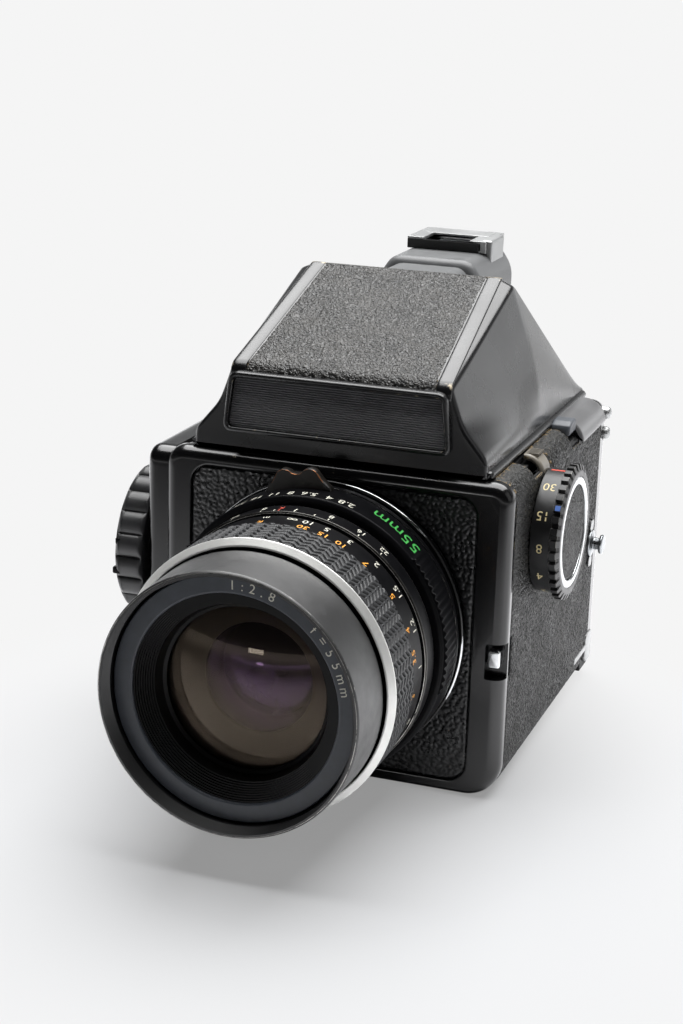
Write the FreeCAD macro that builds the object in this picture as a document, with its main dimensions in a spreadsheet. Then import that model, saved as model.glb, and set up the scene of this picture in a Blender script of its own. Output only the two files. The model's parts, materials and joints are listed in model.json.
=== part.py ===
import FreeCAD, Part
import math
import os

import Sketcher

# Medium format film camera with a prism finder and a wide lens.
# Millimetres. X is to the right of someone facing the lens, the lens looks along -Y, Z is up.
# The origin is the mouth of the tripod socket, in the flat base.

SIZES = {
    # Body
    "face": -40.0, "half_width": 44.0, "above_lens": 37.5, "frame_back": -33.0, "skin": 0.8,
    "corner_top": 5.0, "corner_low": 9.0, "case_wall": 2.7, "case_back": 51.0, "rear": 58.0,
    "fit": 0.3, "shaft_fit": 0.05, "lens_height": 41.5, "edge_round": 1.4,
    "panel_half": 36.8, "panel_low": 3.6, "panel_high": 74.2, "panel_corner": 5.0, "panel_sink": 1.2,
    "panel_proud": 0.4, "throat": 31.0, "seat_plate": 0.9, "seat_half": 36.0,
    # Winding side
    "housing_reach": 6.0, "housing_front": -37.5, "housing_rear": 50.5, "housing_low": 1.5,
    "housing_high": 77.5, "housing_wall": 1.5, "housing_corner": 4.0, "side_skin": 0.5,
    "knob_place": -19.0, "knob_rise": 6.5, "knob_size": 19.7, "knob_depth": 6.5, "knob_gap": 0.5,
    "flutes": 20, "flute_size": 1.7, "wind_shaft": 3.0,
    "tooth_module": 1.0, "small_teeth": 20, "gear_depth": 3.0, "gear_gap": 0.9,
    "crank_width": 12.0, "crank_thick": 1.6, "crank_rib": 1.2, "crank_reach": 17.5, "crank_pivot": 11.0,
    "crank_pin": 1.0, "crank_barrel": 1.5,
    # Speed dial side
    "dial_place": -8.0, "dial_drop": 18.8, "dial_band": 15.3, "dial_rim": 16.9, "dial_face": 13.9,
    "dial_disc": 12.6, "band_depth": 5.1, "rim_depth": 1.8, "dial_chamfer": 0.6, "notches": 36,
    "notch_size": 0.75, "dial_shaft": 3.0, "detent_size": 9.0, "detent_depth": 1.5,
    "lever_front": -11.0, "lever_back": -4.0, "lever_inner": 38.3, "lever_thick": 2.3, "lever_proud": 0.3,
    "lever_drop": 3.2, "lever_travel": 7.0, "lever_foot": 0.9,
    "release_drop": 10.5, "release_rise": 1.5, "release_inner": 39.3, "release_sink": 3.4,
    "catch_width": 3.2, "catch_tall": 4.8, "catch_drop": 5.5, "catch_thick": 1.0, "catch_stem": 1.0,
    "catch_travel": 1.5,
    "finder_button_front": 18.0, "finder_button_length": 7.0, "finder_button_proud": 2.6,
    "finder_button_half": 2.7, "finder_button_travel": 1.5, "finder_button_sink": 3.1,
    "lug_place": 46.0, "lug_height": 41.0, "lug_size": 3.6, "lug_reach": 4.0, "lug_neck": 1.5,
    # Shutter release
    "button_place": -30.5, "button_height": 10.5, "button_size": 3.4, "collar_size": 5.6,
    "button_proud": 3.0, "button_travel": 2.2, "collar_proud": 1.6,
    # Mount and mirror box
    "mount_size": 35.2, "mount_front": 5.2, "mount_bore": 28.0, "mount_spigot": 2.0,
    "flange_to_film": 63.3, "box_half": 33.0, "box_wall": 2.0, "box_low": 10.0, "box_drop": 2.2,
    "box_back": 9.0, "box_foot": 3.0, "mirror_hinge_place": 6.5, "mirror_hinge_drop": 9.5,
    "mirror_length": 38.8, "mirror_side_gap": 1.5, "mirror_glass": 1.5, "holder_thick": 1.2,
    "mirror_pin": 1.0, "mirror_bar": 2.6,
    "screen_front": -32.3, "screen_back": 5.5, "screen_half": 30.0, "screen_thick": 2.0,
    "gate_thick": 1.5, "gate_half_wide": 28.0, "gate_half_tall": 20.75, "gate_half": 36.0,
    "gate_reach": 32.5, "gate_ear": 12.5, "curtain_thick": 0.25, "curtain_half": 27.0,
    "roller_size": 2.9, "roller_place": 36.6, "roller_depth": 12.7, "roller_pin": 1.0,
    "roller_pin_length": 1.6,
    # Film
    "film_gap": 0.6, "pressure_thick": 1.9, "pressure_gap": 1.7, "insert_wall": 2.0,
    "insert_back": 50.4, "insert_drop": 2.0, "insert_lift": 2.2, "bridge_reach": 26.0,
    "spool_half": 32.9, "spool_flange": 12.3, "spool_core": 5.8, "flange_thick": 1.5,
    "spool_place": 35.5, "takeup_rise": 16.0, "supply_drop": 19.5, "spool_pin": 2.0,
    "spool_bore_depth": 4.0, "film_size": 11.2,
    # Door
    "door_gap": 0.3, "door_corner": 4.0, "hinge_place": 54.6, "hinge_height": 6.0, "barrel_size": 3.2,
    "hinge_pin": 1.2, "knuckle": 3.0, "knuckle_root": 3.5, "hinge_step": 2.6,
    "door_wall": 1.8,
    "door_rim": 3.0, "latch_drop": 6.3,
    "latch_apart": 2.8, "latch_size": 1.8, "latch_reach": 1.7, "latch_travel": 1.2, "latch_place": 55.6,
    "strap_front": 36.0, "strap_low": 8.4, "strap_high": 10.4, "strap_proud": 1.1,
    # Base
    "base_thick": 2.2, "base_half": 35.0, "base_front": -32.0, "base_rear": 48.0, "bush_size": 7.5,
    "bush_tall": 8.5, "thread_size": 3.175, "thread_depth": 7.0, "battery_place": -22.0,
    "battery_size": 6.6, "battery_cap": 8.5, "battery_tall": 6.4, "cap_thick": 1.9, "cup_wall": 0.8,
    # Finder
    "finder_front": -38.0, "finder_half": 37.0, "finder_gap": 0.1, "skirt_rise": 4.5,
    "waist_half": 30.6, "waist_rise": 11.8, "cheek_half": 28.6, "cheek_rise": 17.2,
    "brow_half": 27.6, "brow_rise": 20.3, "lip_half": 26.6, "lip_rise": 21.3,
    "crown_place": 10.5, "hip_half": 36.0, "hip_rise": 12.9, "flank_half": 32.6,
    "flank_rise": 25.1, "shoulder_half": 28.2, "shoulder_rise": 37.5, "crown_half": 24.3,
    "crown_rise": 39.2, "finder_rear": 57.0, "tail_rise": 3.5, "finder_wall": 2.5,
    "rail_width": 3.0, "finder_skin": 0.9, "finder_proud": 0.2,
    "hump_half": 15.8, "hump_waist_rise": 33.3, "hump_crown": 11.5, "hump_rise": 38.8, "hump_front": 30.0,
    "hump_rear": 62.0, "hump_root": 8.9, "neck_half": 12.0, "neck_crown": 9.0, "neck_rise": 37.1,
    "tunnel_half": 8.5, "tunnel_root": 19.9, "tunnel_rise": 34.9,
    "surround_low_half": 28.0, "surround_high_half": 26.7, "surround_root": 5.8,
    "surround_rise": 19.3, "surround_proud": 2.6, "surround_edge": 1.4, "plate_sink": 1.4,
    "plate_thick": 0.9, "prism_gap": 0.8, "prism_half": 26.0,
    "eye_rise": 27.4, "eye_size": 7.5, "eye_outer": 10.5, "eye_depth": 4.0, "eye_glass": 2.2,
    "shoe_half": 12.4, "shoe_slot": 9.3, "shoe_mouth": 6.4, "shoe_rear": 63.0, "shoe_front": 44.5,
    "shoe_floor": 0.8, "shoe_slot_tall": 2.1, "shoe_lip": 0.9,
    # Lens, distances ahead of the front face
    "aperture_rear": 6.5, "aperture_front": 18.2, "aperture_size": 34.5, "lobe_rise": 0.8,
    "lobe_rear": 12.6, "lobe_front": 17.6, "lobe_turn": 57.0, "lobe_right": 76.5, "lobe_left": -83.5,
    "scale_rear": 20.3, "scale_front": 25.7, "scale_size": 32.8,
    "focus_rear": 27.0, "grip_rear": 34.0, "grip_front": 46.8, "focus_front": 48.0,
    "focus_size": 32.2, "grip_size": 32.7, "grip_seat": 31.6, "focus_bore": 30.8, "trim_thick": 1.0,
    "core_size": 28.9, "core_front": 29.2, "core_bore": 27.0, "core_step": 17.0, "core_tube": 24.5,
    "core_rear": -1.0, "core_spigot": 26.5, "bayonet_size": 27.6, "bayonet_rear": 1.0,
    "flange_size": 34.0, "flange_front": 6.2, "rear_seat": 20.5, "rear_glass": 22.0,
    "barrel_rear": 17.8, "barrel_slide": 26.7, "barrel_step": 31.0, "barrel_tube": 24.9,
    "neck_front": 50.4, "neck_size": 28.9, "barrel_size_rear": 29.9, "rim_place": 64.6,
    "rim_size": 30.3, "thread_wall": 29.0, "name_place": 60.0, "name_size": 28.5,
    "name_bore": 24.05,
    "name_thick": 1.5,
    "cone_bottom": 56.4, "cone_bore": 20.45, "glass_size": 23.6, "glass_rear": 51.5,
    "glass_edge": 55.2, "glass_crown": 57.0,
    "iris_place": 13.6, "iris_open": 9.5, "iris_thick": 0.9,
    "claw_turn": -7.7, "claw_half": 8.2, "claw_horn": 4.8, "claw_rear": 9.2, "claw_front": 11.4,
}

doc = FreeCAD.newDocument("Camera")
sheet = doc.addObject("Spreadsheet::Sheet", "Sizes")
for row, (alias, value) in enumerate(SIZES.items(), start=1):
    sheet.set("A" + str(row), str(value))
    sheet.setAlias("A" + str(row), alias)
doc.recompute()


class Formula:
    """A length worked out from the sheet: its value now, and the text that binds a property to it."""

    def __init__(self, value, text):
        self.value = value
        self.text = text

    def joined(self, other, sign, value):
        return Formula(value, "(" + self.text + sign + other.text + ")")

    def __add__(self, other):
        other = formula(other)
        return self.joined(other, " + ", self.value + other.value)

    def __radd__(self, other):
        return formula(other) + self

    def __sub__(self, other):
        other = formula(other)
        return self.joined(other, " - ", self.value - other.value)

    def __rsub__(self, other):
        return formula(other) - self

    def __mul__(self, other):
        other = formula(other)
        return self.joined(other, " * ", self.value * other.value)

    __rmul__ = __mul__

    def __truediv__(self, other):
        other = formula(other)
        return self.joined(other, " / ", self.value / other.value)

    def __neg__(self):
        return formula(0.0) - self


def formula(length):
    """A formula as it is, or a plain number as a formula."""
    if isinstance(length, Formula):
        return length
    return Formula(float(length), repr(float(length)))


class Sheet:
    """The sheet's cells by their names."""

    def __init__(self):
        for alias, value in SIZES.items():
            setattr(self, alias, Formula(value, "Sizes." + alias))


s = Sheet()
NODES = []
LEFT = -s.half_width
CASE_SIDE = s.half_width - s.skin
CASE_INSIDE = CASE_SIDE - s.case_wall
BODY_TOP = s.lens_height + s.above_lens
HOUSING_OUT = s.half_width + s.housing_reach
MIRROR_HALF = s.box_half - s.box_wall - s.mirror_side_gap
CASE_TOP = BODY_TOP - s.skin
CEILING = CASE_TOP - s.case_wall
FLOOR = s.skin + s.case_wall
PANEL_FLOOR = s.face + s.panel_sink
KNOB_INNER = -HOUSING_OUT - s.side_skin - s.knob_gap
KNOB_OUTER = KNOB_INNER - s.knob_depth
GEARS_START = -HOUSING_OUT + s.housing_wall + s.gear_gap
FILM = s.face - s.mount_front + s.flange_to_film
INSERT_INSIDE = s.spool_half + s.fit
INSERT_SIDE = INSERT_INSIDE + s.insert_wall
PRESSURE_HALF = INSERT_INSIDE - s.pressure_gap
DOOR_FRONT = s.case_back + s.door_gap
CATCH_X = s.release_inner + s.fit + s.catch_width / 2
BUTTON_X = CASE_SIDE - s.finder_button_half
BASE = BODY_TOP + s.finder_gap
KNOB_Z = s.lens_height + s.knob_rise
TAKEUP_Z = s.lens_height + s.takeup_rise
DIAL_Z = BODY_TOP - s.dial_drop
LEVER_TOP = BODY_TOP + s.lever_proud
BUTTON_TOP = BODY_TOP + s.finder_button_proud
CATCH_Z = s.lens_height - s.catch_drop
BOX_TOP = CEILING - s.box_drop
MIRROR_Z = BOX_TOP - s.mirror_hinge_drop
LATCH_Z = BODY_TOP - s.latch_drop
DIAL_START = s.half_width + s.fit
DIAL_TOP = DIAL_START + s.band_depth + s.rim_depth + s.dial_chamfer


def bind(thing, prop, length):
    """Set one property from a formula."""
    thing.setExpression(prop, formula(length).text)


def place(thing, x, y, z):
    """Bind an object's position."""
    for axis, length in (("x", x), ("y", y), ("z", z)):
        bind(thing, "Placement.Base." + axis, length)


def node(thing, label):
    """Name an object as one of the camera's pieces."""
    thing.Label = label
    NODES.append(thing)
    return thing


def box(name, x, y, z):
    """A block between two places on each axis."""
    block = doc.addObject("Part::Box", name)
    bind(block, "Length", formula(x[1]) - x[0])
    bind(block, "Width", formula(y[1]) - y[0])
    bind(block, "Height", formula(z[1]) - z[0])
    place(block, x[0], y[0], z[0])
    return block


TURN = {"x": FreeCAD.Rotation(FreeCAD.Vector(0, 1, 0), 90),
        "y": FreeCAD.Rotation(FreeCAD.Vector(1, 0, 0), -90),
        "z": FreeCAD.Rotation()}


def rod(name, axis, radius, centre, span):
    """A cylinder along one axis, from span[0] to span[1], at centre on the other two axes."""
    cylinder = doc.addObject("Part::Cylinder", name)
    cylinder.Placement = FreeCAD.Placement(FreeCAD.Vector(), TURN[axis])
    bind(cylinder, "Radius", radius)
    bind(cylinder, "Height", formula(span[1]) - span[0])
    spots = {"x": (span[0], centre[0], centre[1]),
             "y": (centre[0], span[0], centre[1]),
             "z": (centre[0], centre[1], span[0])}
    place(cylinder, *spots[axis])
    return cylinder


def fuse(name, things):
    """Things joined in one."""
    if len(things) == 1:
        return things[0]
    joined = doc.addObject("Part::MultiFuse", name)
    joined.Shapes = things
    joined.Refine = True
    return joined


def cut(name, base, tools):
    """A base with tools taken out."""
    result = doc.addObject("Part::Cut", name)
    result.Base = base
    result.Tool = fuse(name + "_tools", tools)
    result.Refine = True
    return result


def common(name, things):
    """What several things share."""
    result = doc.addObject("Part::MultiCommon", name)
    result.Shapes = things
    result.Refine = True
    return result


def near(a, b):
    """Whether two lengths are the same."""
    return abs(a - formula(b).value) < 1e-4


def along(span, axis):
    """Whether an edge's box runs along one axis alone."""
    sides = {"x": span.XLength, "y": span.YLength, "z": span.ZLength}
    return all(sides[k] < 1e-6 for k in sides if k != axis) and sides[axis] > 1e-6


def origin_plane(body, role):
    """One of a body's own origin planes."""
    return [feature for feature in body.Origin.OriginFeatures if feature.Role == role][0]


def sketch_on(body, role, name):
    """An empty sketch on one of the body's origin planes."""
    sketch = body.newObject("Sketcher::SketchObject", name)
    sketch.AttachmentSupport = (origin_plane(body, role), [""])
    sketch.MapMode = "FlatFace"
    return sketch


def outline(sketch, points):
    """A closed run of straight lines, with every corner held by two dimensions from the origin."""
    corners = [(formula(a), formula(b)) for a, b in points]
    first = sketch.GeometryCount
    for i, start in enumerate(corners):
        end = corners[(i + 1) % len(corners)]
        line = Part.LineSegment(FreeCAD.Vector(start[0].value, start[1].value, 0),
                                FreeCAD.Vector(end[0].value, end[1].value, 0))
        sketch.addGeometry(line, False)
    for i in range(len(corners)):
        after = first + (i + 1) % len(corners)
        sketch.addConstraint(Sketcher.Constraint("Coincident", first + i, 2, after, 1))
    for i, corner in enumerate(corners):
        for kind, length in zip(("DistanceX", "DistanceY"), corner):
            held = sketch.addConstraint(Sketcher.Constraint(kind, -1, 1, first + i, 1, length.value))
            if "Sizes" in length.text:
                sketch.setExpression("Constraints[" + str(held) + "]", length.text)


def turned(name, role, points, x, y, z):
    """A body turned about its sketch's horizontal axis; points are (along, radius)."""
    body = doc.addObject("PartDesign::Body", name)
    place(body, x, y, z)
    sketch = sketch_on(body, role, name + "_profile")
    outline(sketch, points)
    turn = body.newObject("PartDesign::Revolution", name + "_turn")
    turn.Profile = sketch
    turn.ReferenceAxis = (sketch, ["H_Axis"])
    turn.Angle = 360
    return body


def lens_ring(name, points, x=0, z=s.lens_height):
    """A ring about an axis along Y; points are (distance ahead of the front face, radius)."""
    return turned(name, "YZ_Plane", [(-formula(ahead), radius) for ahead, radius in points],
                  x, s.face, z)


def side_ring(name, points, y, z):
    """A ring about an axis along X; points are (x, radius)."""
    return turned(name, "XY_Plane", points, 0, y, z)


def slab(name, role, points, start, depth, reverse=False):
    """A plate padded from an outline; start is its place along the pad's own axis."""
    body = doc.addObject("PartDesign::Body", name)
    place(body, *{"XZ_Plane": (0, start, 0), "XY_Plane": (0, 0, start), "YZ_Plane": (start, 0, 0)}[role])
    sketch = sketch_on(body, role, name + "_outline")
    outline(sketch, points)
    pad = body.newObject("PartDesign::Pad", name + "_pad")
    pad.Profile = sketch
    pad.Reversed = reverse
    bind(pad, "Length", depth)
    return body


def soften(body, name, radius, test):
    """Round the edges of a body that pass a test in the body's own frame."""
    doc.recompute()
    tip = body.Tip
    chosen = ["Edge" + str(i) for i, edge in enumerate(tip.Shape.Edges, start=1) if test(edge.BoundBox)]
    fillet = body.newObject("PartDesign::Fillet", name)
    fillet.Base = (tip, chosen)
    bind(fillet, "Radius", radius)
    return body


def soft_slab(name, half, low, high, rear, depth, top_round, low_round):
    """A plate across X and Z with rounded corners."""
    body = slab(name, "XZ_Plane",
                [(-formula(half), low), (half, low), (half, high), (-formula(half), high)],
                rear, depth)
    soften(body, name + "_top", top_round, lambda span: along(span, "y") and near(span.ZMin, high))
    return soften(body, name + "_low", low_round, lambda span: along(span, "y") and near(span.ZMin, low))


def oblong(x, y):
    """The four corners of a rectangle."""
    return [(x[0], y[0]), (x[1], y[0]), (x[1], y[1]), (x[0], y[1])]


def ring_of_rods(name, count, radius, centre, reach, span, axis="x"):
    """Rods set evenly round a centre."""
    rods = []
    for i in range(int(count.value)):
        turn = 2 * math.pi * i / int(count.value)
        spot = (centre[0] + reach * math.cos(turn), centre[1] + reach * math.sin(turn))
        rods.append(rod(name + "_" + str(i), axis, radius, spot, span))
    return rods


def lever_cut(name):
    """The track that the mirror lock slides in, at the top and side, and the slot for its foot."""
    span = (s.lever_front - s.lever_travel - 2 * s.fit, s.lever_back + 2 * s.fit)
    top = box(name + "_track", (s.lever_inner - s.fit, s.half_width + 1), span,
              (LEVER_TOP - s.lever_thick - s.fit, BODY_TOP + 1))
    side = box(name + "_side", (CASE_SIDE - 0.6, s.half_width + 1), span,
               (BODY_TOP - s.lever_drop - s.fit, BODY_TOP + 1))
    slot = box(name + "_foot_slot", (s.lever_inner + 2 - s.fit, s.lever_inner + 4 + s.fit),
               (s.lever_front - s.lever_travel - s.fit, s.lever_back + s.fit),
               (CEILING - 2 * s.fit - s.lever_foot, BODY_TOP + 1))
    return [top, side, slot]


def finder_button_cut(name):
    """The well of the finder's release button."""
    return box(name, (BUTTON_X - s.finder_button_half - s.fit, BUTTON_X + s.finder_button_half + s.fit),
               (s.finder_button_front - s.fit, s.finder_button_front + s.finder_button_length + s.fit),
               (BODY_TOP - s.finder_button_sink - s.fit, BODY_TOP + 1))


def build_front_frame():
    """The enamelled front frame, sunk for its skin, with its rim rounded."""
    depth = s.frame_back - s.face
    plate = soft_slab("frame_plate", s.half_width, 0, BODY_TOP, s.frame_back, depth,
                      s.corner_top, s.corner_low)
    soften(plate, "frame_rim", s.edge_round,
           lambda span: near(span.YMin, -depth) and near(span.YMax, -depth))
    sink = soft_slab("frame_sink", s.panel_half, s.panel_low, s.panel_high, PANEL_FLOOR,
                     s.panel_sink + 1, s.panel_corner, s.panel_corner)
    throat = rod("frame_throat", "y", s.throat, (0, s.lens_height), (s.face - 1, s.frame_back + 1))
    seat = rod("frame_mount_seat", "y", s.mount_size + s.shaft_fit, (0, s.lens_height),
               (s.face - 1, PANEL_FLOOR))
    catch = box("frame_catch_sink", (s.release_inner, s.half_width + 1),
                (s.face - 1, s.face + s.release_sink),
                (s.lens_height - s.release_drop, s.lens_height - s.release_rise))
    stem = rod("frame_catch_bore", "y", s.catch_stem + s.shaft_fit, (CATCH_X, CATCH_Z),
               (s.face, s.frame_back + 1))
    button = rod("frame_button_bore", "y", s.button_size + s.fit, (s.button_place, s.button_height),
                 (s.face - 1, s.frame_back + 1))
    node(cut("frame", plate, [sink, throat, seat, catch, stem, button]), "front_frame")


def build_front_skin():
    """The pebbled skin on the front, stopping at the mount ring and the release collar."""
    skin = soft_slab("front_skin_sheet", s.panel_half, s.panel_low, s.panel_high, PANEL_FLOOR,
                     s.panel_sink + s.panel_proud, s.panel_corner, s.panel_corner)
    ring = rod("front_skin_ring", "y", s.mount_size + s.shaft_fit, (0, s.lens_height),
               (s.face - 2, s.frame_back))
    collar = rod("front_skin_collar", "y", s.collar_size, (s.button_place, s.button_height),
                 (s.face - 2, s.frame_back))
    node(cut("front_skin", skin, [ring, collar]), "front_leatherette")


def build_case():
    """The central casting: a tube open at the front and rear, with holes for shafts and the screen."""
    outer = soft_slab("case_outer", CASE_SIDE, s.skin, CASE_TOP, s.case_back, s.case_back - s.frame_back,
                      s.corner_top - s.skin, s.corner_low - s.skin)
    seat = box("case_seat", (-s.seat_half, s.seat_half), (s.frame_back, s.case_back),
               (CASE_TOP - 1, BASE))
    cup = rod("case_cup", "z", s.battery_size + s.fit + s.cup_wall, (0, s.battery_place),
              (s.base_thick, s.base_thick + s.battery_tall + 2 * s.fit + s.cup_wall))
    cup_room = rod("case_cup_room", "z", s.battery_size + s.fit, (0, s.battery_place),
                   (-1, s.base_thick + s.battery_tall + 2 * s.fit))
    hollow = box("case_hollow", (-CASE_INSIDE, CASE_INSIDE), (s.frame_back - 1, s.case_back + 1),
                 (FLOOR, CEILING))
    screen = box("case_screen_hole", (-s.screen_half, s.screen_half), (s.screen_front, s.screen_back),
                 (CEILING - 1, BODY_TOP + 1))
    dial = rod("case_dial_hole", "x", s.dial_shaft + s.shaft_fit, (s.dial_place, DIAL_Z),
               (CASE_INSIDE - 1, s.half_width + 1))
    shafts = [rod("case_" + label + "_hole", "x", s.wind_shaft + s.shaft_fit, spot,
                  (LEFT - 1, 1 - CASE_INSIDE))
              for label, spot in (("takeup", (s.spool_place, TAKEUP_Z)),
                                  ("wind", (s.knob_place, KNOB_Z)), ("idler", idler_centre()))]
    lug = rod("case_lug_hole", "x", s.lug_neck, (s.lug_place, s.lug_height),
              (CASE_INSIDE - 1, s.half_width + 1))
    tripod = rod("case_tripod_hole", "z", s.bush_size, (0, 0), (-1, FLOOR + 1))
    base = box("case_base_step", (-s.base_half, s.base_half), (s.base_front, s.base_rear),
               (-1, s.base_thick))
    rollers = [rod("case_roller_bore_" + side, "z", s.roller_pin + s.shaft_fit, (x, s.roller_depth),
                   (FLOOR - s.roller_pin_length, CEILING + s.roller_pin_length))
               for side, x in (("left", -s.roller_place), ("right", s.roller_place))]
    corner = box("case_hinge_step", (LEFT, s.half_width), (s.case_back - s.hinge_step, s.case_back + 1),
                 (-1, s.hinge_height + s.barrel_size + s.fit))
    shell = cut("case_hollowed", fuse("case_blank", [outer, seat]), [hollow])
    tools = [cup_room, screen, dial, lug, tripod, base, corner, finder_button_cut("case_button_well")]
    tube = cut("case_tube", fuse("case_with_cup", [shell, cup]),
               tools + shafts + rollers + lever_cut("case_lever"))
    knuckles = []
    for side, sign in (("left", -1), ("right", 1)):
        ends = [CASE_SIDE - s.knuckle, CASE_SIDE] if sign > 0 else [-CASE_SIDE, s.knuckle - CASE_SIDE]
        arm = box("knuckle_arm_" + side, ends, (s.case_back - s.knuckle_root, s.hinge_place),
                  (s.hinge_height - s.barrel_size, s.hinge_height + s.barrel_size))
        eye = rod("knuckle_eye_" + side, "x", s.barrel_size, (s.hinge_place, s.hinge_height), ends)
        bore = rod("knuckle_bore_" + side, "x", s.hinge_pin, (s.hinge_place, s.hinge_height),
                   (ends[0] - 1, ends[1] + 1))
        knuckles.append(cut("knuckle_" + side, fuse("knuckle_solid_" + side, [arm, eye]), [bore]))
    node(fuse("case", [tube] + knuckles), "body_case")


def build_side_skin():
    """The pebbled skin over the right-hand side, its lower round and its top shoulder."""
    outer = soft_slab("side_skin_outer", s.half_width, 0, BODY_TOP, s.case_back,
                      s.case_back - s.frame_back, s.corner_top, s.corner_low)
    inner = soft_slab("side_skin_inner", CASE_SIDE, s.skin, CASE_TOP, s.case_back + 1,
                      s.case_back - s.frame_back + 2, s.corner_top - s.skin, s.corner_low - s.skin)
    keep = box("side_skin_keep", (s.finder_half + s.fit, s.half_width + 1), (s.frame_back, s.case_back),
               (1.5, BODY_TOP + 1))
    shell = common("side_skin_shell", [cut("side_skin_tube", outer, [inner]), keep])
    low = box("side_skin_hinge", (CASE_INSIDE - 1, s.half_width + 1),
              (s.case_back - s.knuckle_root - s.fit, s.case_back + 1),
              (-1, s.strap_high + 0.6))
    dial = rod("side_skin_dial", "x", s.dial_shaft + 1, (s.dial_place, DIAL_Z),
               (CASE_INSIDE - 1, s.half_width + 1))
    lug = rod("side_skin_lug", "x", s.lug_neck, (s.lug_place, s.lug_height),
              (CASE_INSIDE - 1, s.half_width + 1))
    strap = box("side_skin_strap", (CASE_SIDE - 1, s.half_width + 1),
                (s.strap_front - 0.2, s.case_back + 1),
                (s.strap_low - 0.2, s.strap_high + 0.2))
    node(cut("side_skin", shell, [low, dial, lug, strap, finder_button_cut("side_skin_button")]
             + lever_cut("side_skin_lever")), "side_leatherette")


def build_housing():
    """The cover over the winding gears, hollow, with a skin of its own."""
    out = -HOUSING_OUT
    root = -CASE_SIDE
    block = slab("housing_block", "XY_Plane", oblong((out, root), (s.housing_front, s.housing_rear)),
                 s.housing_low, s.housing_high - s.housing_low)
    soften(block, "housing_corners", s.housing_corner,
           lambda span: along(span, "z") and near(span.XMin, out))
    soften(block, "housing_rims", s.edge_round, lambda span: near(span.XMin, out) and near(span.XMax, out)
           and along(span, "y"))
    hollow = box("housing_hollow", (out + s.housing_wall, root + 1),
                 (s.housing_front + s.housing_wall, s.housing_rear - s.housing_wall),
                 (s.housing_low + s.housing_wall, s.housing_high - s.housing_wall))
    steps = [box("housing_" + label + "_step", (LEFT, root + 1), y, z) for label, y, z in
             (("frame", (s.housing_front - 1, s.frame_back), (-1, BODY_TOP + 1)),
              ("low", (s.housing_front - 1, s.housing_rear + 1), (-1, s.corner_low)),
              ("high", (s.housing_front - 1, s.housing_rear + 1), (BODY_TOP - s.corner_top, BODY_TOP)))]
    shaft = rod("housing_shaft_hole", "x", s.wind_shaft + s.shaft_fit, (s.knob_place, KNOB_Z),
                (out - 1, out + 3))
    node(cut("housing", block, [hollow, shaft] + steps), "winding_housing")
    edge = s.housing_corner
    sheet_block = slab("housing_skin_sheet", "YZ_Plane",
                       oblong((s.housing_front + edge, s.housing_rear - edge),
                              (s.housing_low + edge, s.housing_high - edge)), out - s.side_skin,
                              s.side_skin)
    soften(sheet_block, "housing_skin_corners", 3.0, lambda span: along(span, "x"))
    knob = rod("housing_skin_knob", "x", s.knob_size / 2, (s.knob_place, KNOB_Z), (out - 2, out + 1))
    node(cut("housing_skin", sheet_block, [knob]), "winding_leatherette")


def build_knob():
    """The scalloped winding knob, recessed for its crank arm, with the arm's pins."""
    inner, outer = KNOB_INNER, KNOB_OUTER
    half = s.crank_width / 2
    centre = (s.knob_place, KNOB_Z)
    axis = (KNOB_OUTER - 0.2, s.knob_place + s.crank_pivot)
    disc = side_ring("knob_disc", [(inner, 0), (inner, s.knob_size - 0.8), (inner - 0.8, s.knob_size),
                                   (outer + 0.8, s.knob_size), (outer, s.knob_size - 0.8), (outer, 0)],
                                   *centre)
    flutes = ring_of_rods("knob_flute", s.flutes, s.flute_size, centre, s.knob_size + s.flute_size * 0.35,
                          (outer - 1, inner + 1))
    recess = box("knob_recess", (outer - 1, outer + s.crank_thick),
                 (s.knob_place - s.knob_size - 1, axis[1] + 3.2),
                 (KNOB_Z - half - s.fit, KNOB_Z + half + s.fit))
    body = cut("knob_body", disc, flutes + [recess])
    boss = rod("knob_boss", "x", s.knob_size * 0.45, centre, (inner, inner + s.knob_gap))
    ends = [("low", (KNOB_Z - half - 2, KNOB_Z - half - s.fit),
             (KNOB_Z - half - 1, KNOB_Z - half + 2)),
            ("high", (KNOB_Z + half + s.fit, KNOB_Z + half + 2),
             (KNOB_Z + half - 2, KNOB_Z + half + 1))]
    ears = [box("knob_ear_" + side, (outer - 1.3, outer + 1), (axis[1] - 2, axis[1] + 2), ear)
            for side, ear, pin in ends]
    pins = [rod("knob_pin_" + side, "z", s.crank_pin, axis, pin) for side, ear, pin in ends]
    node(fuse("knob", [body, boss] + ears + pins), "winding_knob")
    front = s.knob_place - s.crank_reach
    arm = slab("crank_arm", "YZ_Plane", oblong((front, axis[1]), (KNOB_Z - half, KNOB_Z + half)),
               outer - 0.4, s.crank_thick + 0.4 - s.fit)
    soften(arm, "crank_tip", 3.0, lambda span: along(span, "x") and near(span.YMin, front))
    ribs = [box("crank_rib_" + side, (outer - 0.4 - s.crank_rib, outer), (front + 3, axis[1]), rib)
            for side, rib in (("low", (KNOB_Z - half, KNOB_Z - half + 1.4)),
                              ("high", (KNOB_Z + half - 1.4, KNOB_Z + half)))]
    barrel = rod("crank_barrel", "z", s.crank_barrel, axis, (KNOB_Z - half, KNOB_Z + half))
    post = rod("crank_post", "x", 3.6, (front + 5.5, KNOB_Z), (outer - 1.5, outer))
    bore = rod("crank_bore", "z", s.crank_pin + s.shaft_fit, axis, (KNOB_Z - half - 1, KNOB_Z + half + 1))
    node(cut("crank", fuse("crank_solid", [arm, barrel, post] + ribs), [bore]), "winding_crank")


def gear_radius(teeth):
    """A gear's pitch radius."""
    return s.tooth_module * teeth / 2


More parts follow.
